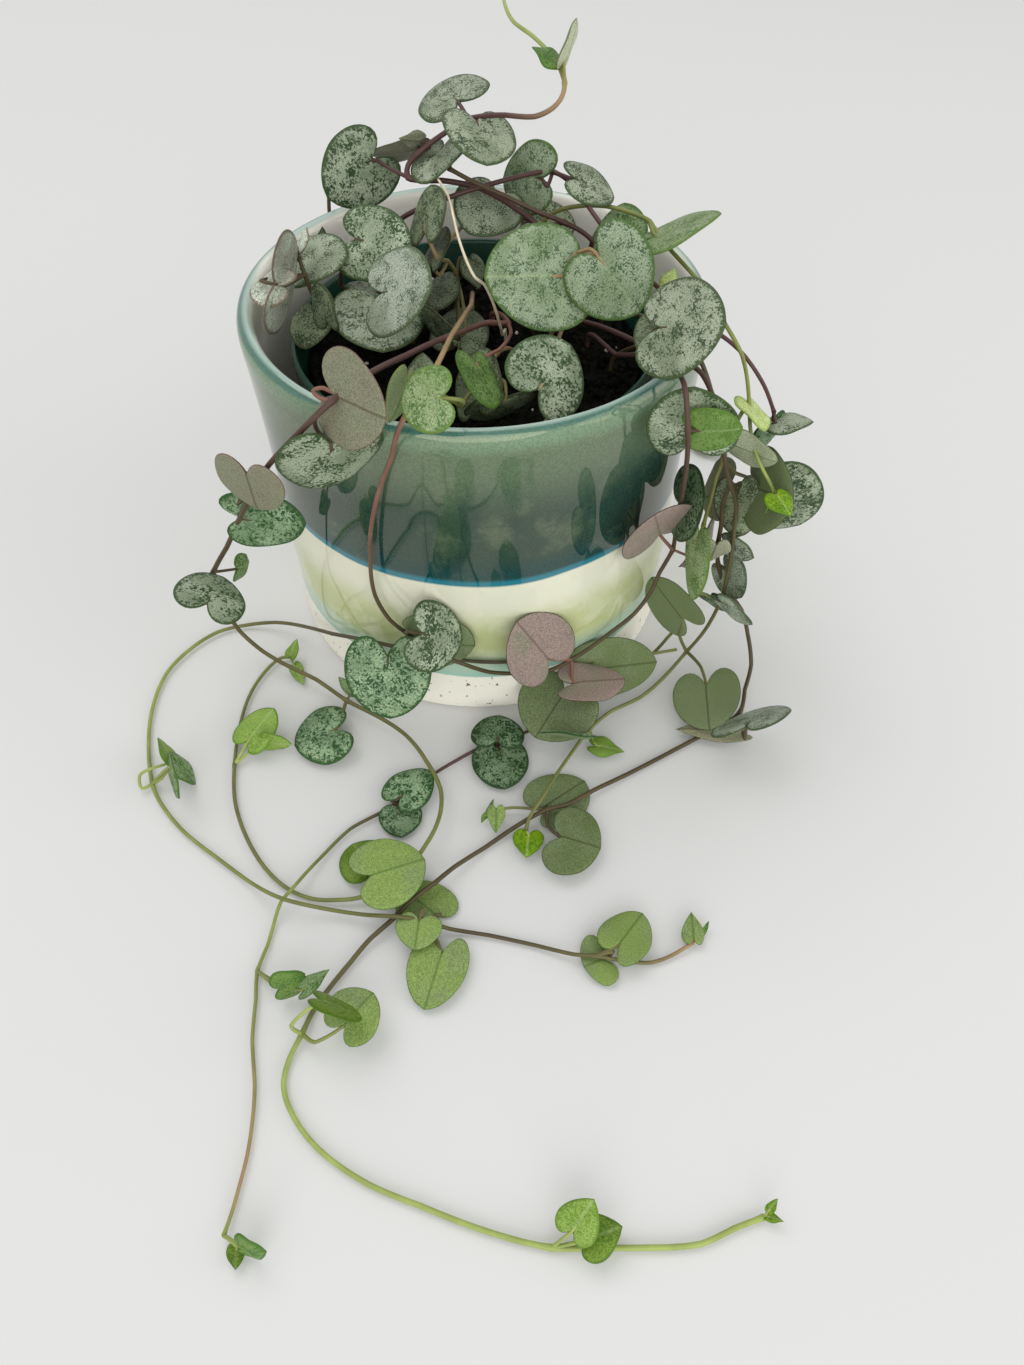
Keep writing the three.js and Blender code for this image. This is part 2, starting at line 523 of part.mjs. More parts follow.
// The blade: the same fan of triangles on both faces, drooping a little from the midrib.
function blade({ notch, tip, width, roll }) {
  const start = vector(notch);
  const along = vector(tip).sub(start);
  const length = along.length();
  along.normalize();
  const level = along.clone().cross(new THREE.Vector3(0, 0, 1)).normalize();
  const upright = level.clone().cross(along);
  const turn = THREE.MathUtils.degToRad(roll);
  const mixed = (first, second, angle) =>
    first.clone().multiplyScalar(Math.cos(angle)).addScaledVector(second, Math.sin(angle));
  const side = mixed(level, upright, -turn);
  const top = mixed(upright, level, turn);
  const half = width < SMALL_WIDTH ? SMALL_HEART : HEART;
  const mirrored = half.map(([ahead, aside]) => [ahead, -aside]).reverse();
  const outline = [[0, 0], ...half, [1, 0], ...mirrored];
  const place = (ahead, aside, height) =>
    start
      .clone()
      .addScaledVector(along, ahead * length)
      .addScaledVector(side, aside * width)
      .addScaledVector(top, height);
  const droop = (aside) => LEAF_DROOP * width * 4 * aside * aside;
  const ring = (offset) => outline.map(([ahead, aside]) => place(ahead, aside, offset - droop(aside)));
  const points = [
    ...ring(LEAF_THICKNESS / 2),
    ...ring(-LEAF_THICKNESS / 2),
    place(0.35, 0, LEAF_THICKNESS / 2),
    place(0.35, 0, -LEAF_THICKNESS / 2),
  ];
  const count = outline.length;
  const faces = [];
  for (let i = 0; i < count; i += 1) {
    const next = (i + 1) % count;
    faces.push([2 * count, i, next], [2 * count + 1, count + next, count + i]);
    faces.push([i, count + next, next], [i, count + i, count + next]);
  }
  return geometryFrom(points, faces);
}

function petiole(node, { notch, tip, via }) {
  const start = vector(notch);
  const inside = start.clone().lerp(vector(tip), PETIOLE_REACH);
  return tube([node, ...via.map(vector), start, inside], PETIOLE_RADIUS, PETIOLE_TIP_RADIUS, 3);
}

// The tubes, petioles and blades of a stretch of stem, and of what branches off it.
function leafyRun(points, { route, radius, leaves, branches = [] }) {
  return [
    tube(points.map(vector), radius[0], radius[1], STEM_SIDES),
    ...leaves.flatMap((one) => [petiole(vector(route[one.at]), one), blade(one)]),
    ...branches.flatMap((branch) => leafyRun([route[branch.from], ...branch.route], branch)),
  ];
}

function leafyStem(vine) {
  const foot = [
    [...vine.root, STEM_FOOT],
    [...vine.root, STEM_NECK],
  ];
  return joined(leafyRun([...foot, ...vine.route], vine));
}

function turned(profile, sides) {
  const points = profile.map(([radius, height]) => new THREE.Vector2(radius, height));
  const geometry = new THREE.LatheGeometry(points, sides);
  geometry.rotateX(Math.PI / 2);
  return geometry;
}

// The glazed cup: a flat bare foot, a wall that flares a little and a rounded lip.
function cup() {
  const foot = [[0, 0], [38.6, 0], [39.3, 0.9]];
  const wall = [[39.5, 10], [39.8, 18], [40.2, 27], [40.3, 36.5], [40.8, 50], [41.6, 62]];
  const lip = [[LIP_OUTER, 67.5], [41.5, 69.3], [40.4, CUP_HEIGHT], [39.4, 69.4], [LIP_INNER, 67.8]];
  const inside = wall.map(([radius, height]) => [radius - WALL, height]).reverse();
  const floor = [[31, CUP_FLOOR], [0, CUP_FLOOR]];
  return turned([...foot, ...wall, ...lip, ...inside, ...floor], CUP_SIDES);
}

// The nursery pot: thin tapered plastic with a rolled rim and one drain hole in its floor.
function nurseryPot() {
  const bottom = CUP_FLOOR + GAP;
  return turned(
    [
      [DRAIN_HOLE, bottom],
      [NURSERY_BASE, bottom],
      [NURSERY_NECK, NURSERY_TOP - 5],
      [NURSERY_RIM - 0.2, NURSERY_TOP - 4.6],
      [NURSERY_RIM, NURSERY_TOP],
      [NURSERY_RIM - 1, NURSERY_TOP],
      [NURSERY_NECK - NURSERY_WALL, NURSERY_TOP - 5],
      [NURSERY_BASE - NURSERY_WALL, bottom + NURSERY_WALL],
      [DRAIN_HOLE, bottom + NURSERY_WALL],
      [DRAIN_HOLE, bottom],
    ],
    NURSERY_SIDES,
  );
}

// The soil fills the nursery pot, with a plain hole for each stem.
function soil() {
  const bottom = CUP_FLOOR + GAP + NURSERY_WALL + GAP;
  const body = turned(
    [
      [0, bottom],
      [NURSERY_BASE - NURSERY_WALL - GAP, bottom],
      [NURSERY_NECK - NURSERY_WALL - 2 * GAP, SOIL_TOP - 1],
      [24, SOIL_TOP],
      [12, SOIL_TOP + 0.4],
      [0, SOIL_TOP],
    ],
    NURSERY_SIDES,
  );
  return geometryOf(
    [...VINES, DRY_STEM].reduce((ground, { root, radius }) => {
      const hole = [
        [...root, SOIL_HOLE_FLOOR],
        [...root, SOIL_TOP + 3],
      ];
      const size = radius[0] + GAP + 0.05;
      return ground.subtract(solidFrom(tube(hole.map(vector), size, size, HOLE_SIDES)));
    }, solidFrom(body)),
  );
}

function named(name, geometry, look) {
  const mesh = new THREE.Mesh(geometry, new THREE.MeshStandardMaterial(look));
  mesh.name = name;
  return mesh;
}

const group = new THREE.Group();
group.add(named("cup", cup(), { color: 0xa9b8a4, roughness: 0.12, metalness: 0 }));
group.add(named("nursery_pot", nurseryPot(), { color: 0x1f3a2c, roughness: 0.4, metalness: 0 }));
group.add(named("soil", soil(), { color: 0x2b1e16, roughness: 0.95, metalness: 0 }));
for (const vine of VINES) {
  group.add(named(vine.name, leafyStem(vine), { color: 0x6f8a5c, roughness: 0.45, metalness: 0 }));
}

group.add(named("dry_stem", leafyStem(DRY_STEM), { color: 0xe6dcc0, roughness: 0.8, metalness: 0 }));

export default group;
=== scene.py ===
"""Looks of a potted string of hearts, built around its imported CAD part.

Every leafy stem keeps its route and its leaves, and gains its tiniest leaves. The stems become smooth
tubes with swollen nodes, and the leaves become domed hearts with round lobes, a crease along the midrib,
mottling and a dark margin. The cup gets its layered glaze, the nursery pot its rim, and the soil its
lumps. Lengths are in millimetres until a mesh is made.
"""

import math
import random

import bpy
import numpy as np
from mathutils import Matrix, Vector, noise


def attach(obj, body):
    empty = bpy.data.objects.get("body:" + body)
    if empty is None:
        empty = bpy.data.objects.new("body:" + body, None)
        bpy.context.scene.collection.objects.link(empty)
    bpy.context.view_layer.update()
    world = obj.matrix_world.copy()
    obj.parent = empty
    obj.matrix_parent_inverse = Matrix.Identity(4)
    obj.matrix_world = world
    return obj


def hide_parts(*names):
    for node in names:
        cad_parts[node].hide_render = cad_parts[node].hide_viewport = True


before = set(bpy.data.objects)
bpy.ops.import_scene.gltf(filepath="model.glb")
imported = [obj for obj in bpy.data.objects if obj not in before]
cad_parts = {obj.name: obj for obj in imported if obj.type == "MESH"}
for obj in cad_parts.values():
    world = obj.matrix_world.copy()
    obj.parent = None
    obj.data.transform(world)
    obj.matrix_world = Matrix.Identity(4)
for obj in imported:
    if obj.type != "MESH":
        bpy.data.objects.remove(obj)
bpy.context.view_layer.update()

# Sizes, in millimetres
CUP_HEIGHT = 70
CUP_FLOOR = 5
CUP_SIDES = 160
LIP_OUTER = 42
LIP_INNER = 38.9
WALL = 3.2
GLAZE_END = 10.4  # below this the clay is bare
BAND_SEAM = 36.5  # where the dark glaze meets the cream one
GAP = 0.3
NURSERY_RIM = 33.6
NURSERY_NECK = 32.2
NURSERY_TOP = 62.5
NURSERY_BASE = 25
NURSERY_WALL = 0.9
NURSERY_LIP = 5  # how far the rim hangs down outside the wall
NURSERY_SIDES = 128
SOIL_TOP = 57
SOIL_SIDES = 150
SOIL_RINGS = 48
SOIL_SKIRT = 50  # the height of the hidden lower edge of the soil
STEM_FOOT = 52
STEM_NECK = 60
STEM_SIDES = 10
STEM_SPACING = 0.9  # between the rings of a stem
STEM_SLIMMING = 0.86  # a round stem looks as thick as a faceted one that is a little thicker
NODE_SWELL = 0.3  # how much thicker a stem is where leaves grow from it
NODE_REACH = 0.7  # how far along the stem that goes
PETIOLE_RADIUS = 0.38
PETIOLE_TIP_RADIUS = 0.3
PETIOLE_REACH = 0.14  # of the blade: how far the petiole runs into it
PETIOLE_SIDES = 8
PETIOLE_SPACING = 0.7
PETIOLE_SLIMMEST = 0.55  # of its radius, where its leaf has no width
PETIOLE_GROWTH = 24  # the leaf's width that would add a whole radius to that
LEAF_THICKNESS = 0.8
THINNEST = 0.3  # how thick a leaf with no width would be
THICKENING = 0.06  # for each millimetre of its width, up to LEAF_THICKNESS
CREASE_WIDTH = 0.45  # along the midrib
CREASE_DEPTH = 0.12

# How leaves differ from each other: the least and the most of each trait
DROOP = (0.0, 0.06)  # of the width: how far the sides bend down
LIFT = (0.0, 0.04)  # of the width: how far the two halves fold up
CURL = (0.0, 0.08)  # of the length: how far the tip bends down
RIPPLE = (0.1, 0.3)  # how far the margin waves
LOBE = (0.95, 1.35)  # how far a lobe reaches behind the notch
PLUMP = 0.03  # how much wider or narrower one half is
COVER_CHANGE = 0.05  # how much more or less mottled a leaf is
TONE = (0.9, 1.1)  # how bright a leaf is

# The camera, fitted to the photograph
CAMERA_PLACE = (6, -173, 168)
CAMERA_PITCH = 50.03  # degrees below the horizon
CAMERA_YAW = 0.4
CAMERA_ROLL = 0.42
CAMERA_LENS = 27.69
NEAREST = 0.005  # metres from the camera

# The room, in metres
FLOOR_HALF = 3
ROOM_STRENGTH = 0.7
LIGHTS = {  # place, aim, size across and power
    "window": ((-0.35, 0.3, 1.0), (0, 0, 0.04), 0.9, 3.0),
    "front": ((0.05, -1.05, 0.48), (0, -0.02, 0.05), 1.2, 6.5),
    "side": ((0.95, -0.3, 0.35), (0, -0.03, 0.05), 1.0, 3.0),
}


def shade(red, green, blue):
    """A colour named by its screen values in percent, as the linear values that shaders use."""
    shares = (red / 100, green / 100, blue / 100)
    return tuple(c / 12.92 if c <= 0.04045 else ((c + 0.055) / 1.055) ** 2.4 for c in shares)


STEM_SHADES = {
    "rose": shade(50, 35, 30),
    "plum": shade(33, 23, 22),
    "umber": shade(31, 27, 18),
    "olive": shade(41, 40, 24),
    "moss": shade(49, 52, 28),
    "fresh": shade(56, 62, 32),
    "lime": shade(60, 66, 36),
    "tan": shade(60, 50, 36),
}

# Undersides: the blade, and its midrib
MAUVE = ((52, 46, 41), (33, 27, 23))
PINK = ((57, 50.5, 47), (42, 34, 30))
DUSK = ((48, 47.5, 39), (32, 29, 23))
KHAKI = ((53, 53, 42), (33, 31, 22))
ASH = ((55, 56, 47), (36, 35, 27))
MIST = ((68, 71, 59), (45, 48, 37))
SAGE = ((44, 50, 34), (27, 32, 19))
FERN = ((38, 44, 27), (24, 29, 15))
SPRING = ((48, 57, 30), (31, 43, 18))


def look(ground, blotch, edge, underside, cover, size=1.0, rib=0.0, stalk=None):
    """How a leaf is coloured: between its blotches, in them, along its margin and underneath. cover is
    the share of the blade that the blotches take, size is how large they are, rib lightens the midrib,
    and stalk names the petiole's shade where it isn't the stem's."""
    under, vein = underside
    return dict(
        ground=shade(*ground), blotch=shade(*blotch), edge=shade(*edge), under=shade(*under),
        vein=shade(*vein), cover=cover, size=size, rib=rib, stalk=stalk,
    )


LOOKS = {
    "silver": look((60, 64, 55), (24, 31, 22), (25, 32, 18), MAUVE, 0.38, 0.8),
    "frosted": look((64, 68, 61), (31, 37, 30), (29, 36, 23), MAUVE, 0.38, 0.8),
    "blotched": look((61, 66, 56), (19, 28, 17), (22, 31, 16), MAUVE, 0.44, 1.2),
    "meadow": look((54, 60, 49), (26, 35, 24), (27, 38, 17), SAGE, 0.36, 0.8, 0.2),
    "pale": look((73, 76, 70), (52, 56, 48), (44, 38, 32), SAGE, 0.34),
    "dark": look((54, 63, 49), (15, 29, 14), (17, 31, 13), SAGE, 0.52, 1.1),
    "inky": look((47, 56, 43), (12, 23, 12), (15, 27, 12), SAGE, 0.6, 1.1),
    # leaves deep in the crown: their dull, dark colours are partly their own and partly painted shade for the
    # shadow they lie in
    "shade": look((48, 53, 42), (22, 27, 19), (24, 27, 16), MAUVE, 0.46),
    # a vivid dark green, darkened further as painted shade for the dark place where its leaf sits
    "basil": look((36, 46, 24), (20, 30, 12), (25, 37, 12), SAGE, 0.45),
    "green": look((49, 58, 40), (25, 38, 19), (27, 41, 15), SAGE, 0.40, 1.0, 0.2),
    "smooth": look((43, 55, 28), (34, 47, 20), (31, 45, 16), SPRING, 0.34, 1.5, 0.25),
    "deep": look((42, 53, 26), (27, 42, 17), (27, 42, 15), SPRING, 0.45),
    "mint": look((56, 63, 46), (34, 46, 25), (37, 49, 21), SAGE, 0.38, 0.9, 0.0, "moss"),
    "lime": look((50, 61, 28), (42, 54, 20), (36, 50, 14), SPRING, 0.26, 1.5, 0.3, "lime"),
    "sprout": look((41, 52, 17), (32, 44, 10), (30, 43, 9), SPRING, 0.26, 1.5, 0.2, "lime"),
    # pale yellow-green young leaves, brightened beyond their own colour as a painted glow of light shining
    # through them
    "glow": look((76, 82, 54), (68, 76, 43), (58, 68, 35), SPRING, 0.38, 1.5, 0.2, "lime"),
    "bud": look((44, 57, 7), (33, 47, 3), (34, 48, 4), SPRING, 0.38, 1.5, 0.3, "lime"),
    "amber": look((52, 54, 28), (43, 47, 21), (43, 47, 21), SAGE, 0.35, 1.5, 0.2),
    "rosy": look((60, 67, 57), (30, 38, 27), (32, 24, 20), PINK, 0.42, stalk="rose"),
    "dusky": look((55, 61, 50), (28, 35, 24), (42, 31, 28), DUSK, 0.42, stalk="rose"),
    "bronze": look((52, 58, 46), (24, 31, 20), (28, 27, 19), KHAKI, 0.45),
    "leafy": look((52, 61, 42), (26, 38, 20), (26, 29, 16), SAGE, 0.42),
    "fern": look((52, 61, 42), (26, 38, 20), (25, 28, 15), FERN, 0.42),
    "spring": look((54, 64, 38), (32, 45, 20), (28, 40, 15), SPRING, 0.42),
    "ashen": look((56, 61, 50), (35, 41, 30), (36, 37, 26), ASH, 0.40),
    "misty": look((62, 68, 54), (40, 46, 33), (40, 43, 30), MIST, 0.40),
}


def leaf(at, notch, tip, width, roll, colours, *via):
    """One leaf: the route point its petiole grows from, its notch, its tip, its width, its roll about
    its own axis in degrees, its look, and the points that the petiole passes on the way."""
    return dict(at=at, notch=notch, tip=tip, width=width, roll=roll, colours=colours, via=via)


# The leafy stems. root is the place in the soil, radius goes from the foot to the far end, and shades
# names the stem's colour at points of its route, which is laid point by point. A branch starts at a
# point of the route that it grows from.
VINES = {}
VINES["vine_left"] = dict(root=(3, 9), radius=(0.6, 0.4), route=[
    (6, -1, 64), (2.5, -4, 66), (-2, -12, 69), (-5.5, -18.5, 71.5), (-10, -28.5, 75), (-15, -36.5, 77),
    (-19.5, -44, 77.5), (-24.5, -45, 73), (-31, -43, 65), (-35, -40.5, 58), (-40, -36.5, 48),
    (-44, -34.5, 40), (-48, -33.5, 33), (-50, -29.5, 24), (-50.5, -26, 15), (-49.5, -25, 8),
    (-45, -27.5, 4.5), (-39, -31, 3.5), (-33, -34.5, 3.5), (-26.5, -39.5, 3), (-20, -43.5, 3),
    (-14, -48.5, 3.5), (-9.5, -55.5, 4.5), (-6.5, -61.5, 3.5), (-6.5, -67, 3), (-8.5, -73.5, 4),
    (-11.5, -78.5, 4.5), (-15.5, -81, 4), (-19, -83, 2), (-24, -83.5, 1.5), (-28.5, -83, 1), (-33, -81, 1),
    (-37.5, -77, 1), (-42, -70.5, 1), (-45.5, -62.5, 1), (-47, -54, 1), (-47.5, -45.5, 1), (-47, -37.5, 1),
    (-45, -31, 1), (-42, -26.5, 1), (-40, -26, 1),
], shades={0: "rose", 4: "plum", 12: "umber", 20: "olive", 28: "moss", 34: "olive", 40: "moss"}, leaves=[
    leaf(0, (1, -29.5, 74), (4, -34.5, 69.5), 10, -35, "basil", (6.5, -10, 67.5), (4.5, -20.5, 71)),
    leaf(6, (-19, -42.5, 77.5), (-11, -49.5, 78.5), 14.5, -110, "dusky",
         (-21.5, -42.5, 77), (-22.5, -41.5, 77.5), (-21, -41.5, 78)),
    leaf(6, (-20.5, -44.5, 70), (-23.5, -40.5, 58.5), 17, -165, "blotched",
         (-22, -44.5, 75.5), (-22.5, -43, 71.5)),
    leaf(9, (-34.5, -43, 63.5), (-34.5, -41.5, 55), 12, 20, "dusky", (-36.5, -41, 60.5)),
    leaf(9, (-39, -36.5, 48.5), (-28.5, -36.5, 47.5), 13.5, 95, "dark", (-40, -36, 50)),
    leaf(12, (-46.5, -44.5, 36), (-45.5, -35.5, 34), 12.5, 25, "blotched", (-49, -39, 35)),
    leaf(12, (-44.5, -30.5, 31), (-43, -26.5, 29), 6, 95, "green"),
    leaf(19, (-28, -47, 3), (-36, -49.5, 1.5), 14, 0, "dark"),
    leaf(19, (-25.5, -37, 3), (-29, -32.5, 2), 3, 0, "green"),
    leaf(28, (-18.5, -77, 1.5), (-22.5, -71.5, 1), 10, 0, "sprout"),
    leaf(28, (-17.5, -81, 5.5), (-8.5, -77.5, 5), 14, 180, "spring"),
    leaf(35, (-44.5, -49.5, 3), (-40, -43.5, 5.5), 8.5, 0, "lime"),
    leaf(35, (-41, -50, 3), (-36, -50.5, 3), 5, 80, "lime", (-44, -51.5, 2)),
    leaf(40, (-39.5, -27, 2.5), (-38, -24.5, 5), 3, 0, "lime"),
    leaf(40, (-38.5, -29, 1), (-36, -34, 1), 3, 0, "lime"),
])
VINES["vine_loop"] = dict(root=(16, 6), radius=(0.5, 0.4), route=[
    (28.5, -15.5, 69), (31, -29, 74.5), (32.5, -37.5, 76), (33.5, -40.5, 70), (35, -36.5, 60.5),
    (36, -32.5, 50), (37, -26, 39), (37.5, -25, 31), (35.5, -26, 26), (34, -27.5, 22), (31, -29.5, 18),
    (26.5, -32.5, 16), (22, -36, 15), (18.5, -38, 14), (14, -40.5, 13.5), (8.5, -42, 14.5), (2.5, -43, 16),
    (-3, -44.5, 20.5), (-8.5, -44.5, 23), (-15, -41.5, 21.5), (-22.5, -35.5, 17), (-29.5, -29, 11.5),
    (-36.5, -22, 6), (-44, -17.5, 2.5), (-51, -17, 1), (-56.5, -19, 1), (-61.5, -24, 1), (-65, -30.5, 1),
    (-66, -39.5, 1), (-65, -48, 1), (-62, -58.5, 1), (-59, -63.5, 1), (-53.5, -69.5, 1), (-47, -74.5, 1),
    (-40.5, -79.5, 1.5), (-35.5, -83.5, 4), (-32.5, -85, 4.5), (-29, -85.5, 3.5), (-23, -86, 2),
    (-17.5, -87.5, 3.5), (-13, -88.5, 5), (-8.5, -88.5, 3.5), (-4, -89, 1.5), (3, -90, 1), (11.5, -92, 1),
    (17.5, -94, 2), (21, -94.5, 2.5), (25, -95, 2), (30.5, -95, 1), (34.5, -93.5, 1), (38, -91.5, 1.5),
], shades={
    0: "plum", 11: "umber", 21: "umber", 24: "olive", 27: "fresh",
    33: "moss", 43: "umber", 47: "olive", 50: "tan",
}, leaves=[
    leaf(3, (35, -37, 65.5), (34, -38, 76), 14.5, -145, "blotched", (35.5, -34, 63.5)),
    leaf(3, (35.5, -38.5, 68.5), (42, -40, 70), 9.5, 100, "smooth"),
    leaf(7, (37, -26.5, 43.5), (40, -33, 50.5), 14, 70, "inky", (37.5, -26, 37)),
    leaf(7, (33.5, -30, 39.5), (31, -35.5, 49), 15.5, 50, "rosy"),
    leaf(7, (42, -22, 25.5), (39.5, -23.5, 25), 3.5, 85, "rosy", (44, -24.5, 27)),
    leaf(13, (13.5, -42, 19), (7.5, -41, 28), 14.5, 135, "rosy"),
    leaf(13, (19, -42.5, 12), (29, -40.5, 10.5), 10, 180, "rosy"),
    leaf(19, (-16, -45, 22.5), (-16, -51.5, 12), 16, 0, "dark"),
    leaf(30, (-58.5, -55, 3.5), (-61, -51.5, 6.5), 7, 65, "lime",
         (-63.5, -60, 1.5), (-64, -58, 3), (-61.5, -57, 4)),
    leaf(30, (-57, -56.5, 5), (-53.5, -58.5, 1), 8, -45, "green", (-59.5, -59, 3.5)),
    leaf(30, (-56.5, -59.5, 8), (-54, -66, 7), 7, 75, "green"),
    leaf(41, (-6.5, -86, 0.5), (-13, -80.5, 0.5), 10.5, 180, "spring", (-5.5, -87, 3)),
    leaf(41, (-9, -89, 4), (-9.5, -94, 3.5), 8, 180, "spring", (-8.5, -87, 5)),
    leaf(41, (-5, -94, 2), (-7.5, -103.5, 1.5), 10, 180, "spring"),
    leaf(46, (25, -93, 3.5), (29.5, -87, 3), 9, 180, "spring"),
    leaf(46, (22.5, -94.5, 1), (19, -96, 1), 9.5, 180, "spring", (24, -94, 3)),
    leaf(50, (38, -91, 2), (38, -86.5, 3), 4, 180, "spring"),
    leaf(50, (40, -89.5, 1), (41, -88, 2.5), 1, 10, "deep"),
])
VINES["vine_front"] = dict(root=(-1, 15), radius=(0.5, 0.4), route=[
    (-0.5, -3.5, 69), (-3, -22.5, 75), (-5, -37, 78), (-7.5, -44.5, 78), (-10, -46, 74), (-11.5, -44, 68),
    (-14.5, -41, 59), (-17, -39.5, 49), (-18, -38.5, 41), (-18, -38.5, 32), (-15.5, -40, 27),
    (-12.5, -40.5, 24), (-8.5, -40, 19.5), (-4, -40.5, 17), (4, -40.5, 16), (12.5, -38.5, 14.5),
    (18.5, -35.5, 12), (23.5, -34, 10), (29.5, -32, 8), (35.5, -29, 5.5), (41.5, -26, 3.5),
], shades={
    0: "tan", 3: "tan", 4: "rose", 6: "rose",
    9: "umber", 14: "umber", 17: "olive", 20: "moss",
}, leaves=[
    leaf(11, (-9, -47, 31), (-2, -43.5, 25.5), 13, 50, "blotched", (-11.5, -46, 30.5)),
    leaf(11, (-10.5, -41, 23.5), (0, -41, 21.5), 14.5, -90, "leafy"),
    leaf(17, (17, -43, 9), (11.5, -50.5, 5), 16.5, 180, "leafy", (21.5, -39, 10.5)),
    leaf(17, (23.5, -36, 9), (36.5, -31.5, 6), 12, -125, "fern"),
])
TIP_BRANCH = dict(start=16, radius=(0.35, 0.3), route=[
    (10.5, -65, 2.5), (7, -64.5, 2), (3.5, -65, 2),
], shades={0: "olive", 2: "moss"}, leaves=[
    leaf(2, (4, -66, 3.5), (4, -70.5, 2.5), 3.5, 180, "spring"),
    leaf(2, (2.5, -64.5, 1), (3.5, -62.5, 2), 1, 0, "deep"),
    leaf(2, (2.5, -66, 2.5), (1, -67.5, 1.5), 1.5, 0, "deep"),
])
FLOOR_BRANCH = dict(start=7, radius=(0.5, 0.5), route=[
    (45, -26, 43), (45.5, -26, 38), (45.5, -26.5, 34), (46.5, -26, 28), (49, -26.5, 22), (53, -26.5, 16),
    (55, -28, 10.5), (56, -32, 5.5), (54.5, -36.5, 3), (53, -41.5, 2), (48.5, -44.5, 1), (43.5, -47.5, 1),
    (37, -51.5, 1), (29.5, -56, 1), (22.5, -60.5, 2), (17, -64.5, 3), (13.5, -65.5, 3), (8.5, -68, 2),
    (2, -72.5, 1), (-3.5, -77.5, 2.5), (-6.5, -81, 3.5), (-11, -85, 3.5), (-13.5, -87.5, 2.5),
    (-17.5, -91, 1.5), (-20.5, -95, 1), (-23.5, -99.5, 1), (-26, -104, 1), (-27, -107.5, 1.5),
    (-28.5, -111, 1), (-29, -115.5, 1), (-27, -120, 1), (-22.5, -125, 1), (-14.5, -130, 1), (-6.5, -133, 1),
    (2, -136, 1), (12.5, -138.5, 1), (19.5, -138.5, 1), (26.5, -138.5, 1), (34, -138, 1), (39, -136, 1),
    (43.5, -134.5, 1),
], shades={0: "umber", 22: "umber", 26: "olive", 28: "lime", 40: "lime"}, leaves=[
    leaf(2, (44.5, -29, 36), (44, -28.5, 31.5), 6, 50, "ashen"),
    leaf(2, (47.5, -26.5, 33.5), (52, -29.5, 33), 7, 100, "frosted"),
    leaf(3, (48, -26, 27), (51, -31, 24), 9.5, 80, "frosted"),
    leaf(4, (48, -31, 22.5), (53, -35, 20.5), 9, 115, "frosted"),
    leaf(9, (50.5, -54, 13.5), (56.5, -45.5, 9), 15.5, -40, "frosted", (50.5, -55, 11)),
    leaf(9, (51, -46.5, 2), (39.5, -46, 2), 6, 180, "bronze"),
    leaf(16, (13.5, -63.5, 1), (21, -57.5, 0.5), 12, 180, "leafy"),
    leaf(16, (16, -72, 3.5), (23, -74, 3), 15, 180, "fern", (13.5, -69, 3)),
    leaf(27, (-22.5, -106, 10.5), (-16.5, -108, 8.5), 9.5, -55, "sprout", (-28, -108, 6), (-26, -106.5, 7.5)),
    leaf(27, (-19.5, -107, 4.5), (-15.5, -102.5, 6), 9.5, 180, "spring", (-24.5, -109.5, 3)),
    leaf(35, (15.5, -137, 5), (18.5, -133.5, 7), 6.5, 0, "lime"),
    leaf(35, (17.5, -138, 3.5), (22.5, -136.5, 4.5), 6.5, 0, "sprout"),
    leaf(40, (44, -134, 3), (45, -133, 5), 1.5, 0, "bud"),
    leaf(40, (44, -134.5, 1.5), (46, -135.5, 2.5), 1.5, 0, "bud"),
], branches=[TIP_BRANCH])
VINES["vine_right"] = dict(root=(21, 2), radius=(0.5, 0.4), route=[
    (25, -10, 63.5), (31, -19.5, 70), (33.5, -30, 75), (35.5, -33.5, 75.5), (37, -36.5, 74), (40, -35, 66),
    (42, -33, 58.5), (44.5, -30, 51), (46.5, -29, 46), (47.5, -28, 38.5), (48, -28, 32), (48, -28.5, 26),
    (48, -27.5, 19), (46.5, -28, 13), (45, -27.5, 8), (43.5, -27, 4), (38.5, -32, 1.5), (33, -37.5, 1.5),
    (27, -41, 1.5), (22.5, -45.5, 1.5), (19.5, -50, 1.5), (15.5, -57.5, 3), (12.5, -64, 4.5),
    (10, -68, 3.5), (9.5, -69.5, 2),
], shades={0: "plum", 8: "umber", 14: "olive", 19: "moss", 24: "olive"}, leaves=[
    leaf(7, (51, -25, 46), (54.5, -34.5, 51), 15.5, -105, "leafy", (48.5, -24.5, 46)),
    leaf(7, (47, -19, 41.5), (44, -15, 34.5), 12, 120, "bronze"),
    leaf(7, (47.5, -25, 45), (49, -26, 35), 9, 70, "bronze"),
    leaf(15, (41.5, -26.5, 14), (35, -21.5, 20.5), 14.5, 85, "leafy", (41.5, -26.5, 8.5)),
    leaf(15, (46, -38, 6), (46, -47.5, 3.5), 13.5, -155, "leafy", (45.5, -33, 6)),
    leaf(19, (23.5, -50, 2), (29, -51.5, 2), 5, 0, "lime"),
    leaf(19, (20, -53.5, 10), (12, -52.5, 10), 10, 55, "dark"),
    leaf(24, (10, -70.5, 2), (9.5, -75.5, 2.5), 6, 0, "bud"),
], branches=[FLOOR_BRANCH])
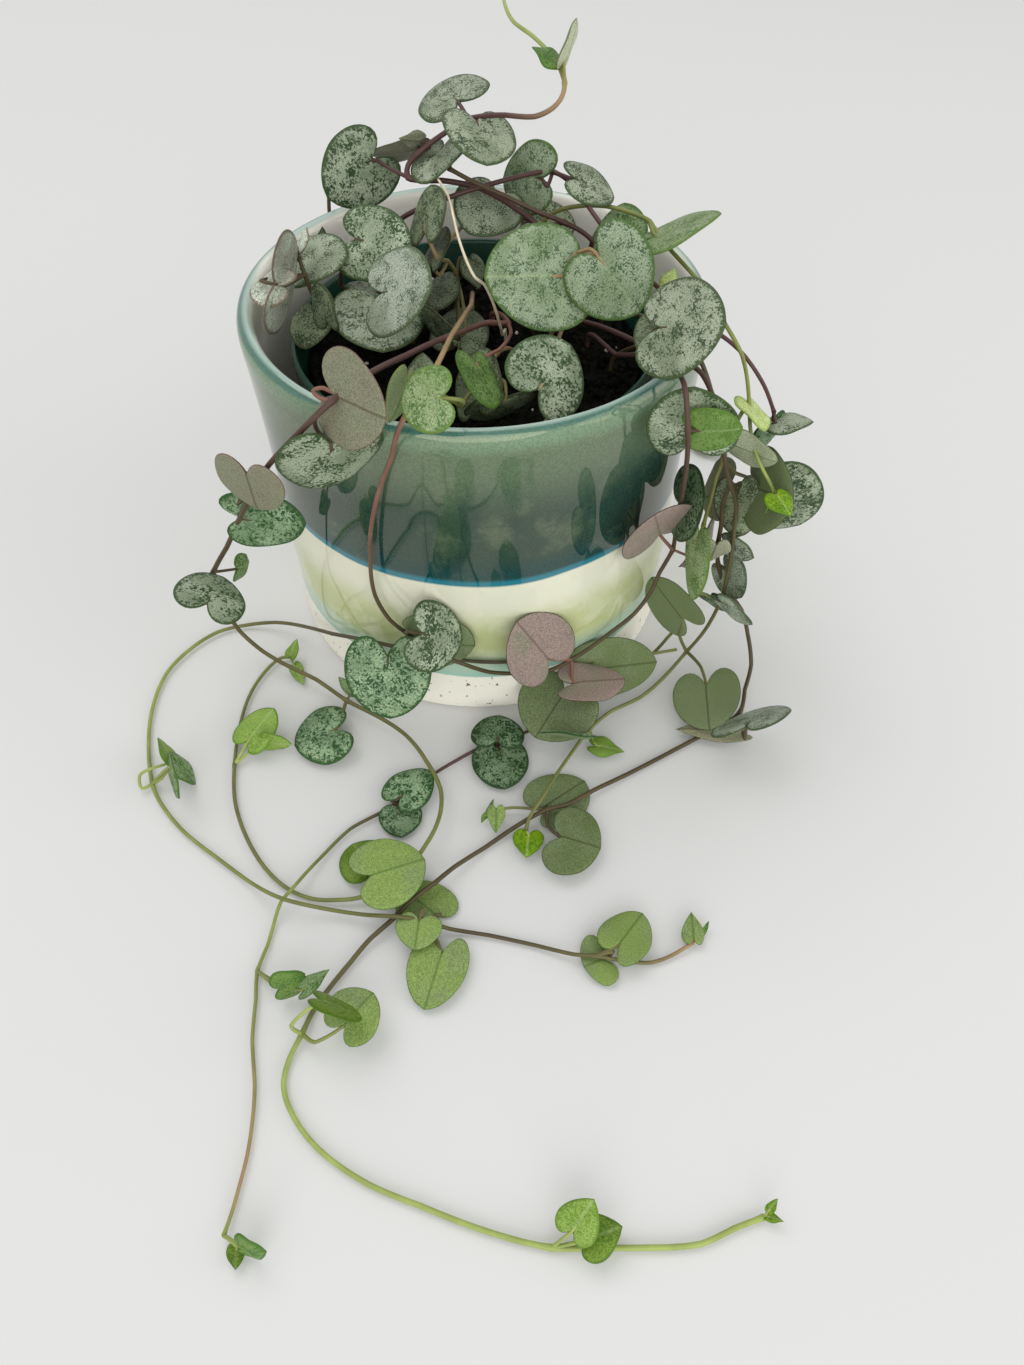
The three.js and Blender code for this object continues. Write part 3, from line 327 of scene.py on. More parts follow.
VINES["vine_long"] = dict(root=(24, 9), radius=(0.45, 0.35), route=[
    (36, -27.5, 74.5), (38.5, -30, 69.5), (41.5, -29.5, 62), (42.5, -29.5, 56), (42, -29.5, 52),
    (42, -28.5, 46), (42, -27, 39), (42, -26.5, 31), (42, -27, 22), (42, -25, 12), (39.5, -24.5, 5.5),
    (37, -25.5, 2), (31.5, -30, 1.5), (26, -35, 1), (18.5, -41, 1), (10.5, -45.5, 1), (4, -49, 1),
    (0.5, -50, 1), (-4, -53, 1), (-8, -56, 1), (-11.5, -59.5, 1), (-15, -63, 1), (-18.5, -65.5, 1),
    (-23, -68.5, 1), (-27, -73.5, 1), (-30, -78.5, 2), (-32, -82.5, 3), (-33.5, -84.5, 2.5),
    (-34.5, -88, 1), (-35, -92, 1), (-36, -96.5, 1), (-35.5, -101.5, 1), (-35, -108.5, 1),
    (-33.5, -115.5, 1), (-33, -121, 1), (-33, -126, 1), (-33.5, -130.5, 1), (-34, -134, 1),
    (-34.5, -137, 1.5),
], shades={
    0: "umber", 8: "moss", 12: "umber", 18: "plum", 22: "umber",
    27: "fresh", 31: "moss", 36: "tan", 38: "fresh",
}, leaves=[
    leaf(3, (55.5, -16.5, 39.5), (64, -16, 28.5), 18, 100, "blotched", (46.5, -24.5, 49)),
    leaf(6, (41, -29, 37), (41, -31.5, 24), 9, 70, "mint"),
    leaf(7, (43.5, -25, 29.5), (43.5, -25.5, 39.5), 8, 65, "silver"),
    leaf(8, (47, -24.5, 17.5), (50.5, -24.5, 13.5), 7.5, 130, "inky"),
    leaf(16, (4, -49.5, 3), (4.5, -43.5, 3.5), 10.5, 0, "inky"),
    leaf(16, (4.5, -51.5, 2), (5.5, -60, 1.5), 11, 0, "inky"),
    leaf(21, (-14, -62.5, 2.5), (-9, -56, 2.5), 9, 0, "dark", (-16, -62.5, 2)),
    leaf(21, (-14, -65, 1.5), (-13.5, -70.5, 1), 8, 0, "dark"),
    leaf(30, (-27.5, -101, 3.5), (-23, -98.5, 6), 3.5, 0, "green", (-31.5, -99.5, 2.5)),
    leaf(30, (-31, -101, 4.5), (-27, -99, 5), 8, 80, "deep"),
    leaf(38, (-32.5, -138.5, 1), (-32, -141.5, 2), 3, 0, "sprout"),
    leaf(38, (-31, -139, 4), (-27.5, -140, 4.5), 7, 80, "deep"),
])
VINES["vine_young"] = dict(root=(11, 19), radius=(0.5, 0.35), route=[
    (11, 12, 71), (12, 13.5, 75), (14, 14, 77), (18, 12.5, 79), (23.5, 10.5, 80), (29, 7, 80),
    (30.5, 5, 80), (32.5, 0, 79), (37.5, -10, 77.5), (41, -21.5, 76), (43.5, -25, 73), (47, -22, 62),
    (47, -25.5, 60), (47.5, -27, 58), (49, -29.5, 55), (51, -30.5, 52), (52.5, -31, 49.5),
], shades={0: "olive", 5: "moss", 9: "moss", 16: "lime"}, leaves=[
    leaf(6, (31.5, 0.5, 79.5), (41.5, -1, 84.5), 15.5, -10, "mint"),
    leaf(11, (47, -22, 61.5), (49.5, -27, 60), 8, -30, "glow"),
    leaf(11, (45.5, -26, 56.5), (52, -29.5, 55.5), 10.5, -65, "misty", (45, -24.5, 60)),
    leaf(16, (51.5, -35, 52.5), (53.5, -38.5, 51), 6, -10, "bud"),
    leaf(16, (52, -31.5, 49.5), (50.5, -33, 47), 4.5, 60, "bud"),
])
VINES["vine_over"] = dict(root=(-9, 17), radius=(0.55, 0.4), route=[
    (-15.5, 18.5, 70), (-13, 14.5, 76), (-6, 13.5, 79.5), (-0.5, 14.5, 81), (4.5, 15.5, 82), (8, 17.5, 82),
    (14, 19.5, 82), (18, 12.5, 82), (20, 7, 81.5), (23.5, -0.5, 80), (28.5, -5, 76.5), (33.5, -10, 74),
    (37.5, -16, 73.5), (41.5, -19, 72.5), (45.5, -19, 69), (49.5, -20, 64), (52.5, -19, 58),
], shades={0: "plum", 16: "plum"}, leaves=[
    leaf(6, (12, 19, 81), (5, 24.5, 78.5), 12.5, -65, "meadow", (13, 17, 80.5)),
    leaf(6, (18, 11.5, 84), (25, 12.5, 81), 10.5, 15, "silver"),
    leaf(16, (53, -20.5, 56.5), (59, -21.5, 58), 8, -10, "silver"),
    leaf(16, (52.5, -19.5, 56), (52, -19.5, 50.5), 7.5, -125, "dark"),
])
VINES["vine_top"] = dict(root=(12, 13), radius=(0.65, 0.4), route=[
    (12.5, 9.5, 72), (11.5, 10.5, 76), (7.5, 12.5, 78.5), (0.5, 17.5, 80), (-6, 18, 81), (-12, 18, 81.5),
    (-12, 19.5, 83), (-10, 20, 85), (-5.5, 20.5, 88), (-1, 20.5, 90.5), (5.5, 16, 93), (10.5, 13, 94),
    (13.5, 14, 95), (15, 16, 96), (15.5, 19, 97), (15, 23, 98), (13, 28.5, 98.5), (10, 35, 99), (7, 41, 99),
    (5.5, 48.5, 99), (5, 54, 99),
], shades={0: "plum", 10: "plum", 13: "tan", 15: "fresh", 20: "lime"}, leaves=[
    leaf(5, (-19, 24, 82), (-27.5, 20.5, 76.5), 14.5, -80, "blotched", (-15.5, 20.5, 82)),
    leaf(9, (-3, 25.5, 91.5), (-7.5, 34.5, 91), 13.5, -20, "silver"),
    leaf(9, (0.5, 18, 91), (2.5, 8.5, 88), 13.5, -15, "silver"),
    leaf(7, (-11, 28, 82.5), (-19.5, 26.5, 82), 12, 40, "bronze"),
    leaf(7, (-10, 22, 86.5), (-13.5, 21, 87), 5, 55, "ashen", (-8, 21, 85.5)),
    leaf(14, (14, 24.5, 98.5), (10, 25, 100.5), 6.5, -5, "deep"),
    leaf(14, (15.5, 23.5, 99.5), (17.5, 24.5, 105), 8, -45, "misty"),
])
VINES["shoot_back"] = dict(root=(17, 15), radius=(0.55, 0.45), route=[
    (21, 8, 75), (16, 8.5, 78), (11, 8.5, 80), (5.5, 10, 82), (-0.5, 12.5, 83.5), (-4.5, 15, 84.5),
], shades={0: "plum", 5: "umber"}, leaves=[
    leaf(5, (-5.5, 21.5, 85.5), (-8.5, 13, 83), 12, 25, "silver", (-4, 23.5, 84)),
    leaf(1, (10, 23, 71), (19, 23.5, 70), 12, 25, "shade", (8.5, 24, 69.5)),
])
VINES["shoot_left"] = dict(root=(-22, 5), radius=(0.5, 0.4), route=[
    (-28.5, 1.5, 67), (-29.5, -0.5, 73), (-30.5, 1.5, 75),
], shades={0: "umber"}, leaves=[
    leaf(1, (-33, -9, 76), (-31.5, 2, 70.5), 17, 100, "pale", (-35.5, -8, 76)),
    leaf(1, (-32, -9, 75.5), (-38, -7, 74), 8.5, -20, "pale"),
    leaf(2, (-30.5, 2.5, 76), (-29, 5.5, 78.5), 5.5, -35, "pale"),
    leaf(0, (-28.5, -2.5, 66.5), (-30, -8.5, 63.5), 9.5, 15, "shade"),
    leaf(0, (-25.5, -7.5, 68.5), (-26.5, -5.5, 74.5), 8.5, -75, "shade", (-24, -5.5, 66.5)),
])
VINES["shoot_tall"] = dict(root=(-17, 11), radius=(0.5, 0.4), route=[
    (-25, 8.5, 66), (-23.5, 7.5, 71), (-22, 8.5, 74),
], shades={0: "umber"}, leaves=[
    leaf(2, (-21, 8, 75), (-11, 4.5, 75), 14, 40, "blotched"),
    leaf(1, (-31.5, 7, 71.5), (-22.5, 4.5, 74), 12.5, 20, "silver", (-27.5, 7.5, 68.5)),
    leaf(1, (-28.5, 15.5, 70), (-28.5, 17, 73), 4.5, 60, "shade"),
    leaf(0, (-18.5, 5, 66.5), (-23.5, 4, 68.5), 8, 5, "silver", (-17.5, 2.5, 65.5)),
])
VINES["shoot_middle"] = dict(root=(-12, 3), radius=(0.5, 0.4), route=[
    (-15.5, -2.5, 67), (-15, -8, 73),
], shades={0: "umber"}, leaves=[
    leaf(1, (-14.5, -13.5, 77), (-6, -19, 82), 15, 45, "frosted"),
    leaf(0, (-17, -1.5, 68.5), (-15.5, -13.5, 66), 16.5, -5, "silver", (-17.5, 0, 67)),
])
VINES["shoot_centre"] = dict(root=(-4, 8), radius=(0.55, 0.4), route=[
    (-3.5, 11, 66), (-5, 8, 71), (-6.5, 3.5, 74), (-2.5, 15, 74),
], shades={0: "olive", 3: "tan"}, leaves=[
    leaf(3, (3.5, 17.5, 78), (-1, 9.5, 75.5), 13, -20, "silver", (1.5, 17.5, 75)),
    leaf(1, (-7.5, 5.5, 72), (-5, 10, 76.5), 9.5, -40, "shade", (-6.5, 5, 70)),
    leaf(0, (-8.5, 6, 64), (-5, 12.5, 66.5), 10.5, -20, "shade", (-8.5, 5, 61.5)),
    leaf(0, (-3, -1.5, 60.5), (-2, 9, 61.5), 11, 0, "shade", (-3, -3, 58.5)),
    leaf(2, (-8.5, 6, 78), (-7.5, 12, 83), 11, -45, "shade"),
    leaf(0, (-1, 13.5, 68), (0.5, 10.5, 64), 7, -30, "shade", (-3, 15, 68)),
    leaf(0, (-4.5, -7.5, 65.5), (-10, -5, 70), 10.5, -120, "shade", (-2, -6.5, 65)),
])
VINES["shoot_front"] = dict(root=(7, -4), radius=(0.5, 0.4), route=[
    (4.5, -10, 64), (1.5, -19.5, 65), (-1.5, -31.5, 68),
], shades={0: "tan", 2: "moss"}, leaves=[
    leaf(2, (-3.5, -47.5, 80.5), (-9.5, -46, 78.5), 9.5, -45, "mint", (-1, -45, 78.5)),
    leaf(1, (1, -26, 65), (1.5, -19.5, 71), 12, -45, "shade", (2.5, -26.5, 63)),
    leaf(1, (5.5, -27, 66), (1.5, -23.5, 59), 12, -155, "shade", (5.5, -26, 68.5)),
    leaf(2, (-7, -30, 70.5), (-7.5, -26, 74), 7, 30, "shade"),
    leaf(2, (-9.5, -37.5, 76.5), (-12, -41, 71.5), 9, 80, "amber"),
])
VINES["shoot_right"] = dict(root=(14, 2), radius=(0.55, 0.4), route=[
    (17, 0, 67), (15, -5, 74), (16, -6, 78), (17.5, -6, 80),
], shades={0: "tan", 3: "tan"}, leaves=[
    leaf(1, (15, -8, 77), (2, -11, 78.5), 18, -40, "meadow"),
    leaf(3, (21, -9.5, 81), (27.5, -16, 75), 15.5, 50, "meadow", (19.5, -6.5, 81)),
    leaf(0, (11, -28.5, 69), (16.5, -20, 72), 14.5, 40, "blotched", (14, -15.5, 68)),
    leaf(3, (25, 8, 73.5), (27, 15, 78.5), 12, -25, "green"),
])
VINES["shoot_side"] = dict(root=(25, -6), radius=(0.5, 0.4), route=[
    (29, -11, 66), (29.5, -20, 74),
], shades={0: "umber"}, leaves=[
    leaf(1, (29, -31, 81.5), (37, -37, 86), 15.5, 50, "silver"),
    leaf(1, (32.5, -10, 76.5), (33.5, -8.5, 79), 4.5, -20, "glow"),
    leaf(0, (29.5, -23, 77), (27.5, -34, 76.5), 7, 0, "shade"),
])
VINES["vine_back"] = dict(root=(8, 26), radius=(0.5, 0.4), route=[
    (9, 31, 68), (10, 37, 74.5), (11, 42, 75.5), (12, 44.5, 71), (12.5, 43.5, 62), (12.5, 43, 52),
    (13, 42.5, 42), (13.5, 42.5, 32), (13, 42, 22), (13, 41.5, 12), (14, 43, 5), (18, 47, 2), (24, 51, 1),
    (32, 55, 1), (40, 57, 1), (47, 55.5, 1), (53, 51, 1),
], shades={0: "umber"}, leaves=[
    leaf(4, (18, 44.5, 61), (27, 42, 54), 14, -80, "blotched"),
    leaf(4, (8, 46, 60), (-0.5, 46.5, 54), 13, 100, "silver"),
    leaf(6, (7.5, 44.5, 41), (-0.5, 44.5, 35), 12, 80, "dark"),
    leaf(7, (18.5, 43, 30), (26, 39, 24), 12.5, -85, "silver"),
    leaf(9, (18, 42.5, 11.5), (25.5, 41, 6.5), 11.5, -65, "blotched"),
    leaf(13, (34, 61, 3), (32.5, 69, 2), 12.5, 0, "silver"),
    leaf(13, (33, 51, 2), (36, 43.5, 2.5), 11, 0, "dark"),
    leaf(16, (56.5, 48, 1.5), (61, 42.5, 2.5), 9, 0, "lime"),
])
VINES["vine_behind"] = dict(root=(-16, 20), radius=(0.5, 0.4), route=[
    (-20, 24, 68), (-24, 29, 75), (-27, 33.5, 76), (-29.5, 35.5, 71), (-30, 34, 62), (-30, 33, 52),
    (-29.5, 32.5, 42), (-29, 32.5, 34),
], shades={0: "umber"}, leaves=[
    leaf(4, (-24, 38, 61), (-15.5, 42.5, 55), 14, -75, "blotched"),
    leaf(4, (-36, 32, 60), (-42.5, 24, 54), 13.5, 75, "silver"),
    leaf(6, (-24, 37, 40), (-17, 41, 34), 12, -80, "dark"),
    leaf(7, (-31, 34, 31), (-34, 33, 24), 9, 85, "silver"),
])

# A pale, dried flower stalk that stands among the leaves
DRY_STEM = dict(root=(5.5, 3.5), radius=(0.35, 0.25), route=[
    (5, -3, 63), (4, -7.5, 70), (2, -8, 75.5), (0.5, -8.5, 77), (-2.5, -0.5, 80), (-4.5, 9, 82.5),
    (-6.5, 13.5, 83.5),
])

# Half a heart from the notch round to the tip: ahead as a share of notch to tip, aside as a share of
# the width. A grown leaf is round, and a young one comes to a point.
ROUND_HALF = [
    (0, 0), (-0.12, 0.045), (-0.22, 0.11), (-0.285, 0.2), (-0.275, 0.305), (-0.18, 0.41), (-0.02, 0.48),
    (0.18, 0.5), (0.38, 0.485), (0.57, 0.43), (0.745, 0.34), (0.88, 0.225), (0.96, 0.11), (0.985, 0.035),
    (1.0, 0),
]
POINTED_HALF = [
    (0, 0), (-0.1, 0.05), (-0.19, 0.12), (-0.23, 0.22), (-0.2, 0.33), (-0.1, 0.43), (0.05, 0.49),
    (0.2, 0.49), (0.36, 0.44), (0.52, 0.36), (0.67, 0.26), (0.8, 0.165), (0.9, 0.085), (0.96, 0.03),
    (1.0, 0),
]
ROUND_WIDTH = 9  # leaves from this width on are round
POINTED_WIDTH = 5  # leaves up to this width are pointed
GROWN_WIDTH = 13  # narrower leaves have a narrower margin
HALF_STEPS = 26  # outline steps on each side of the midrib
OUTLINE_SPACING = 0.02
BLADE_CENTRE = 0.3  # ahead of the notch, where the rings of the blade's mesh meet
RINGS = (0.2, 0.38, 0.54, 0.68, 0.8, 0.89, 0.95, 0.985)  # how far out each ring of the mesh lies
RIM = 2 * HALF_STEPS  # vertices on the outline, which both sides of a blade share
INNER = 1 + len(RINGS) * RIM  # vertices that each side has to itself
UNDER_COVER = 0.0  # the underside has no mottling
UNDER_RIB = -0.7  # and its midrib is darker, not lighter


def curve_through(points, spacing):
    """A smooth curve through the points that never loops between them, and each of its places counted
    in points."""
    points = np.array(points, float)
    ends = np.vstack([2 * points[0] - points[1], points, 2 * points[-1] - points[-2]])
    curve, places = [], []
    for index in range(len(points) - 1):
        corners = ends[index : index + 4]
        gaps = np.sqrt(np.maximum(np.linalg.norm(np.diff(corners, axis=0), axis=1), 1e-3))
        knots = np.concatenate([[0], np.cumsum(gaps)])
        steps = max(2, math.ceil(gaps[1] ** 2 / spacing))
        for step in range(steps):
            at = knots[1] + (knots[2] - knots[1]) * step / steps
            level = corners
            for order in (1, 2, 3):
                low, high = knots[: 4 - order], knots[order:]
                share = ((at - low) / (high - low))[:, None]
                level = level[:-1] * (1 - share) + level[1:] * share
            curve.append(level[0])
            places.append(index + step / steps)
    curve.append(points[-1])
    places.append(len(points) - 1)
    return np.array(curve), np.array(places)


def put_in_scene(name, data):
    made = bpy.data.objects.new(name, data)
    bpy.context.collection.objects.link(made)
    return made


class Pile:
    """Collects vertices, faces and values on the vertices, and makes one mesh of them."""

    def __init__(self):
        self.points, self.faces, self.values, self.count = [], [], {}, 0

    def add(self, points, faces, **values):
        self.points.append(points)
        self.faces += [tuple(corner + self.count for corner in face) for face in faces]
        for name, value in values.items():
            self.values.setdefault(name, []).append(np.broadcast_to(value, (len(points), 3)))
        self.count += len(points)

    def make(self, name, material, slot, replaced):
        mesh = bpy.data.meshes.new(name)
        places = np.vstack(self.points) / 1000
        mesh.from_pydata(places.tolist(), [], self.faces)
        mesh.shade_smooth()
        for value, parts in self.values.items():
            layer = mesh.attributes.new(value, "FLOAT_VECTOR", "POINT")
            layer.data.foreach_set("vector", np.vstack(parts).astype(np.float32).ravel())
        mesh.materials.append(material)
        piece = put_in_scene(name, mesh)
        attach(piece, "root")
        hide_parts(replaced)


def walls(rings, sides):
    """The faces between rings of vertices that follow each other."""
    faces = []
    for ring in range(rings - 1):
        for side in range(sides):
            start, after = ring * sides + side, ring * sides + (side + 1) % sides
            faces.append((start, after, after + sides, start + sides))
    return faces


def tube(points, radii, sides):
    """A closed tube along the points: its vertices, ring by ring, and its faces."""
    steps = np.diff(points, axis=0)
    steps /= np.maximum(np.linalg.norm(steps, axis=1), 1e-6)[:, None]
    directions = np.vstack([steps[:1], steps[:-1] + steps[1:], steps[-1:]])
    directions /= np.linalg.norm(directions, axis=1)[:, None]
    across = np.array((0.6, 0.64, 0.48))  # a slanting direction, which no stem starts along
    turns = np.linspace(0, 2 * math.pi, sides, endpoint=False)
    rings = []
    for centre, direction, radius in zip(points, directions, radii):
        across = across - direction * (across @ direction)
        across /= np.linalg.norm(across)
        up = np.cross(direction, across)
        rings.append(centre + radius * (np.outer(np.cos(turns), across) + np.outer(np.sin(turns), up)))
    last = (len(points) - 1) * sides
    ends = [tuple(reversed(range(sides))), tuple(range(last, last + sides))]
    return np.vstack(rings), walls(len(points), sides) + ends


def turned(profile, sides):
    """A profile of radius and height turned about the upright axis: its vertices and faces."""
    angles = np.linspace(0, 2 * math.pi, sides, endpoint=False)
    rings = [
        np.stack([radius * np.cos(angles), radius * np.sin(angles), np.full(sides, height)], -1)
        for radius, height in profile
    ]
    return np.vstack(rings), walls(len(profile), sides)


# Leaves


def heart_outline(width, rng):
    """The outline from the notch round to the notch: ahead and aside, as shares."""
    young = min(max((ROUND_WIDTH - width) / (ROUND_WIDTH - POINTED_WIDTH), 0), 1)
    half = np.array(ROUND_HALF) * (1 - young) + np.array(POINTED_HALF) * young
    curve, _ = curve_through(np.column_stack([half, np.zeros(len(half))]), OUTLINE_SPACING)
    run = np.concatenate([[0], np.cumsum(np.linalg.norm(np.diff(curve, axis=0), axis=1))])
    marks = np.linspace(0, run[-1], HALF_STEPS + 1)
    ahead = np.interp(marks, run, curve[:, 0])
    aside = np.interp(marks, run, curve[:, 1])
    halves = []
    for sign in (1, -1):
        lobe = rng.uniform(*LOBE)
        plump = 1 + rng.uniform(-PLUMP, PLUMP)
        halves.append(np.stack([np.where(ahead < 0, ahead * lobe, ahead), sign * aside * plump]))
    return np.hstack([halves[0], halves[1][:, -2:0:-1]])


def blade_frame(one):
    """The notch, the length, and the blade's directions ahead, aside and up."""
    start = np.array(one["notch"], float)
    along = np.array(one["tip"], float) - start
    length = np.linalg.norm(along)
    along /= length
    level = np.cross(along, (0, 0, 1))
    level /= np.linalg.norm(level)
    upright = np.cross(level, along)
    turn = math.radians(one["roll"])
    side = level * math.cos(turn) - upright * math.sin(turn)
    top = upright * math.cos(turn) + level * math.sin(turn)
    return start, length, along, side, top


def blade_faces():
    """The faces of both sides of a blade. The upper side's vertices come first, from its centre out,
    and then the underside's own ones."""
    centre = [(0, 1 + (index + 1) % RIM, 1 + index) for index in range(RIM)]
    around = [tuple(1 + corner for corner in face) for face in walls(len(RINGS) + 1, RIM)]
    upper = [face[:1] + face[:0:-1] for face in centre + around]
    lower = [tuple(c + (INNER + RIM) * (c < INNER) for c in face) for face in centre + around]
    return upper + lower


def blade_grid(width, rng):
    """A blade's vertices from its centre out to its outline: ahead, aside, and how far out."""
    ahead, aside = np.tile(heart_outline(width, rng), len(RINGS) + 1)
    shares = np.repeat((*RINGS, 1.0), RIM)
    ahead = BLADE_CENTRE + shares * (ahead - BLADE_CENTRE)
    return np.append(BLADE_CENTRE, ahead), np.append(0, shares * aside), np.append(0, shares)


def blade_surface(ahead, aside, shares, length, width, rng):
    """How high the upper and the lower face lie above the blade's plane: domed, folded up a little
    along the midrib, curled down at the tip, rippled at the margin and creased."""
    droop, lift, curl = rng.uniform(*DROOP), rng.uniform(*LIFT), rng.uniform(*CURL)
    ripple, phase = rng.uniform(*RIPPLE), rng.uniform(0, 6)
    middle = (
        -droop * width * 4 * aside**2
        + lift * width * np.abs(aside)
        - curl * length * np.maximum(ahead - BLADE_CENTRE, 0) ** 2
        + ripple * shares**3 * np.sin(3 * np.arctan2(aside, ahead - BLADE_CENTRE) + phase)
    )
    thick = min(LEAF_THICKNESS, THINNEST + THICKENING * width) / 2 * np.sqrt(1 - shares**4)
    groove = np.exp(-((aside * width / CREASE_WIDTH) ** 2)) * np.clip(1.1 - ahead, 0, 1)
    crease = groove * np.minimum(thick * 2, CREASE_DEPTH)
    return middle + thick - crease, middle - thick - crease


def add_blade(pile, one, rng):
    """A leaf's blade, with the values that its paint reads."""
    start, length, along, side, top = blade_frame(one)
    width = one["width"]
    colours = LOOKS[one["colours"]]
    ahead, aside, shares = blade_grid(width, rng)
    above, below = blade_surface(ahead, aside, shares, length, width, rng)
    flat = start + np.outer(ahead * length, along) + np.outer(aside * width, side)
    points = np.vstack([flat + np.outer(above, top), (flat + np.outer(below, top))[:INNER]])
    is_upper = (np.arange(len(points)) < len(flat))[:, None]

    def both(upper, lower):
        return np.where(is_upper, upper, lower)

    grain = np.column_stack([aside * width, ahead * length, np.full(len(flat), rng.uniform(0, 900))])
    cover = colours["cover"] + rng.uniform(-COVER_CHANGE, COVER_CHANGE)
    reach = np.hypot((ahead - BLADE_CENTRE) * length, aside * width) / np.maximum(shares, 0.1)
    inwards = (1 - shares) * reach / min(1, width / GROWN_WIDTH)
    traits = np.column_stack([inwards, np.tile((colours["size"], rng.uniform(*TONE)), (len(flat), 1))])
    pile.add(
        points,
        BLADE_FACES,
        ground=both(colours["ground"], colours["under"]),
        blotch=both(colours["blotch"], colours["vein"]),
        edge=colours["edge"],
        grain=np.vstack([grain, grain[:INNER]]),
        traits=np.vstack([traits, traits[:INNER]]),
        amounts=both((cover, colours["rib"], 0), (UNDER_COVER, UNDER_RIB, 0)),
    )


# Stems


def stem_shade(shades, place):
    """The stem's colour at a place along its route."""
    colours = np.array([STEM_SHADES[name] for name in shades.values()])
    return np.stack([np.interp(place, list(shades), colours[:, channel]) for channel in range(3)], -1)


def add_petiole(pile, node, one, tint):
    """The stalk of a leaf, from its node to just inside the blade."""
    start = np.array(one["notch"], float)
    inside = start + (np.array(one["tip"], float) - start) * PETIOLE_REACH
    points, _ = curve_through([node, *one["via"], start, inside], PETIOLE_SPACING)
    slim = min(1, PETIOLE_SLIMMEST + one["width"] / PETIOLE_GROWTH)
    radii = np.linspace(PETIOLE_RADIUS, PETIOLE_TIP_RADIUS, len(points)) * slim
    pile.add(*tube(points, radii, PETIOLE_SIDES), tint=tint)


def add_run(stems, blades, before, run, rng):
    """A stretch of stem with its petioles and leaves, and what branches off it."""
    route = run["route"]
    points, places = curve_through([*before, *route], STEM_SPACING)
    places = places - len(before)
    radii = STEM_SLIMMING * np.interp(places, [-len(before), len(route) - 1], run["radius"])
    for at in {one["at"] for one in run["leaves"]}:
        away = np.linalg.norm(points - np.array(route[at]), axis=1)
        radii = radii * (1 + NODE_SWELL * np.exp(-((away / NODE_REACH) ** 2)))
    tints = np.repeat(stem_shade(run["shades"], places), STEM_SIDES, axis=0)
    stems.add(*tube(points, radii, STEM_SIDES), tint=tints)
    for one in run["leaves"]:
        named = LOOKS[one["colours"]]["stalk"]
        tint = STEM_SHADES[named] if named else stem_shade(run["shades"], one["at"])
        add_petiole(stems, route[one["at"]], one, tint)
        add_blade(blades, one, rng)
    for branch in run.get("branches", []):
        add_run(stems, blades, [route[branch["start"]]], branch, rng)


def foot_of(root):
    """Where a stem stands in the soil, from inside its hole to its neck."""
    return [(*root, STEM_FOOT), (*root, STEM_NECK)]


def make_vine(name, vine, seed):
    stems, blades = Pile(), Pile()
    add_run(stems, blades, foot_of(vine["root"]), vine, random.Random(seed))
    stems.make(name + "_stem", STEM, "leafy_vine", name)
    blades.make(name + "_leaves", LEAF, "leafy_vine", name)


def make_dry_stem():
    points, _ = curve_through([*foot_of(DRY_STEM["root"]), *DRY_STEM["route"]], STEM_SPACING)
    radii = STEM_SLIMMING * np.linspace(*DRY_STEM["radius"], len(points))
    pile = Pile()
    pile.add(*tube(points, radii, PETIOLE_SIDES), tint=shade(88, 84, 72))
    pile.make("dry_stalk", STEM, "dry_straw", "dry_stem")


# Materials


class Paint:
    """A material's node tree, built a node at a time."""

    def __init__(self, name):
        self.material = bpy.data.materials.new(name)
        self.material.use_nodes = True
        self.tree = self.material.node_tree
        self.surface = self.tree.nodes["Principled BSDF"]

    def put(self, socket, value):
        if isinstance(value, bpy.types.NodeSocket):
            self.tree.links.new(value, socket)
        elif isinstance(value, tuple):
            socket.default_value = (*value, 1)
        else:
            socket.default_value = value

    def node(self, kind, inputs, output=0, **settings):
        made = self.tree.nodes.new("ShaderNode" + kind)
        for setting, value in settings.items():
            setattr(made, setting, value)
        for socket, value in inputs.items():
            self.put(made.inputs[socket], value)
        return made.outputs[output]

    def value(self, name):
        return self.node("Attribute", {}, "Vector", attribute_name=name)

    def parts(self, vector):
        made = self.tree.nodes.new("ShaderNodeSeparateXYZ")
        self.put(made.inputs[0], vector)
        return made.outputs

    def maths(self, operation, first, second=0.0):
        return self.node("Math", {0: first, 1: second}, operation=operation)

    def plus(self, first, second):
        return self.maths("ADD", first, second)

    def minus(self, first, second):
        return self.maths("SUBTRACT", first, second)

    def times(self, first, second):
        return self.maths("MULTIPLY", first, second)

    def step(self, value, low, high, start=0.0, end=1.0):
        """Goes smoothly from start to end while the value goes from low to high."""
        return self.node(
            "MapRange",
            {"Value": value, "From Min": low, "From Max": high, "To Min": start, "To Max": end},
            interpolation_type="SMOOTHSTEP",
        )

    def noise(self, place, scale, detail=3.0, roughness=0.5):
        inputs = {"Vector": place, "Scale": scale, "Detail": detail, "Roughness": roughness}
        return self.node("TexNoise", inputs)

    def mix(self, share, first, second):
        return self.node("MixRGB", {0: share, 1: first, 2: second})

    def layers(self, height, colour, bands):
        """Each band's colour comes in over the ones before, from its low height to its high one."""
        for low, high, over in bands:
            colour = self.mix(self.step(height, low, high), colour, over)
        return colour

    def dim(self, colour, share):
        return self.node("MixRGB", {0: 1.0, 1: colour, 2: share}, blend_type="MULTIPLY")

    def bump(self, height, strength, distance):
        inputs = {"Height": height, "Strength": strength, "Distance": distance / 1000}
        self.put(self.surface.inputs["Normal"], self.node("Bump", inputs))

    def finish(self, colour, roughness, specular=0.5, gloss=(1, 1, 1)):
        inputs = {"Base Color": colour, "Roughness": roughness, "Specular IOR Level": specular}
        for socket, value in {**inputs, "Specular Tint": gloss}.items():
            self.put(self.surface.inputs[socket], value)
        return self.material


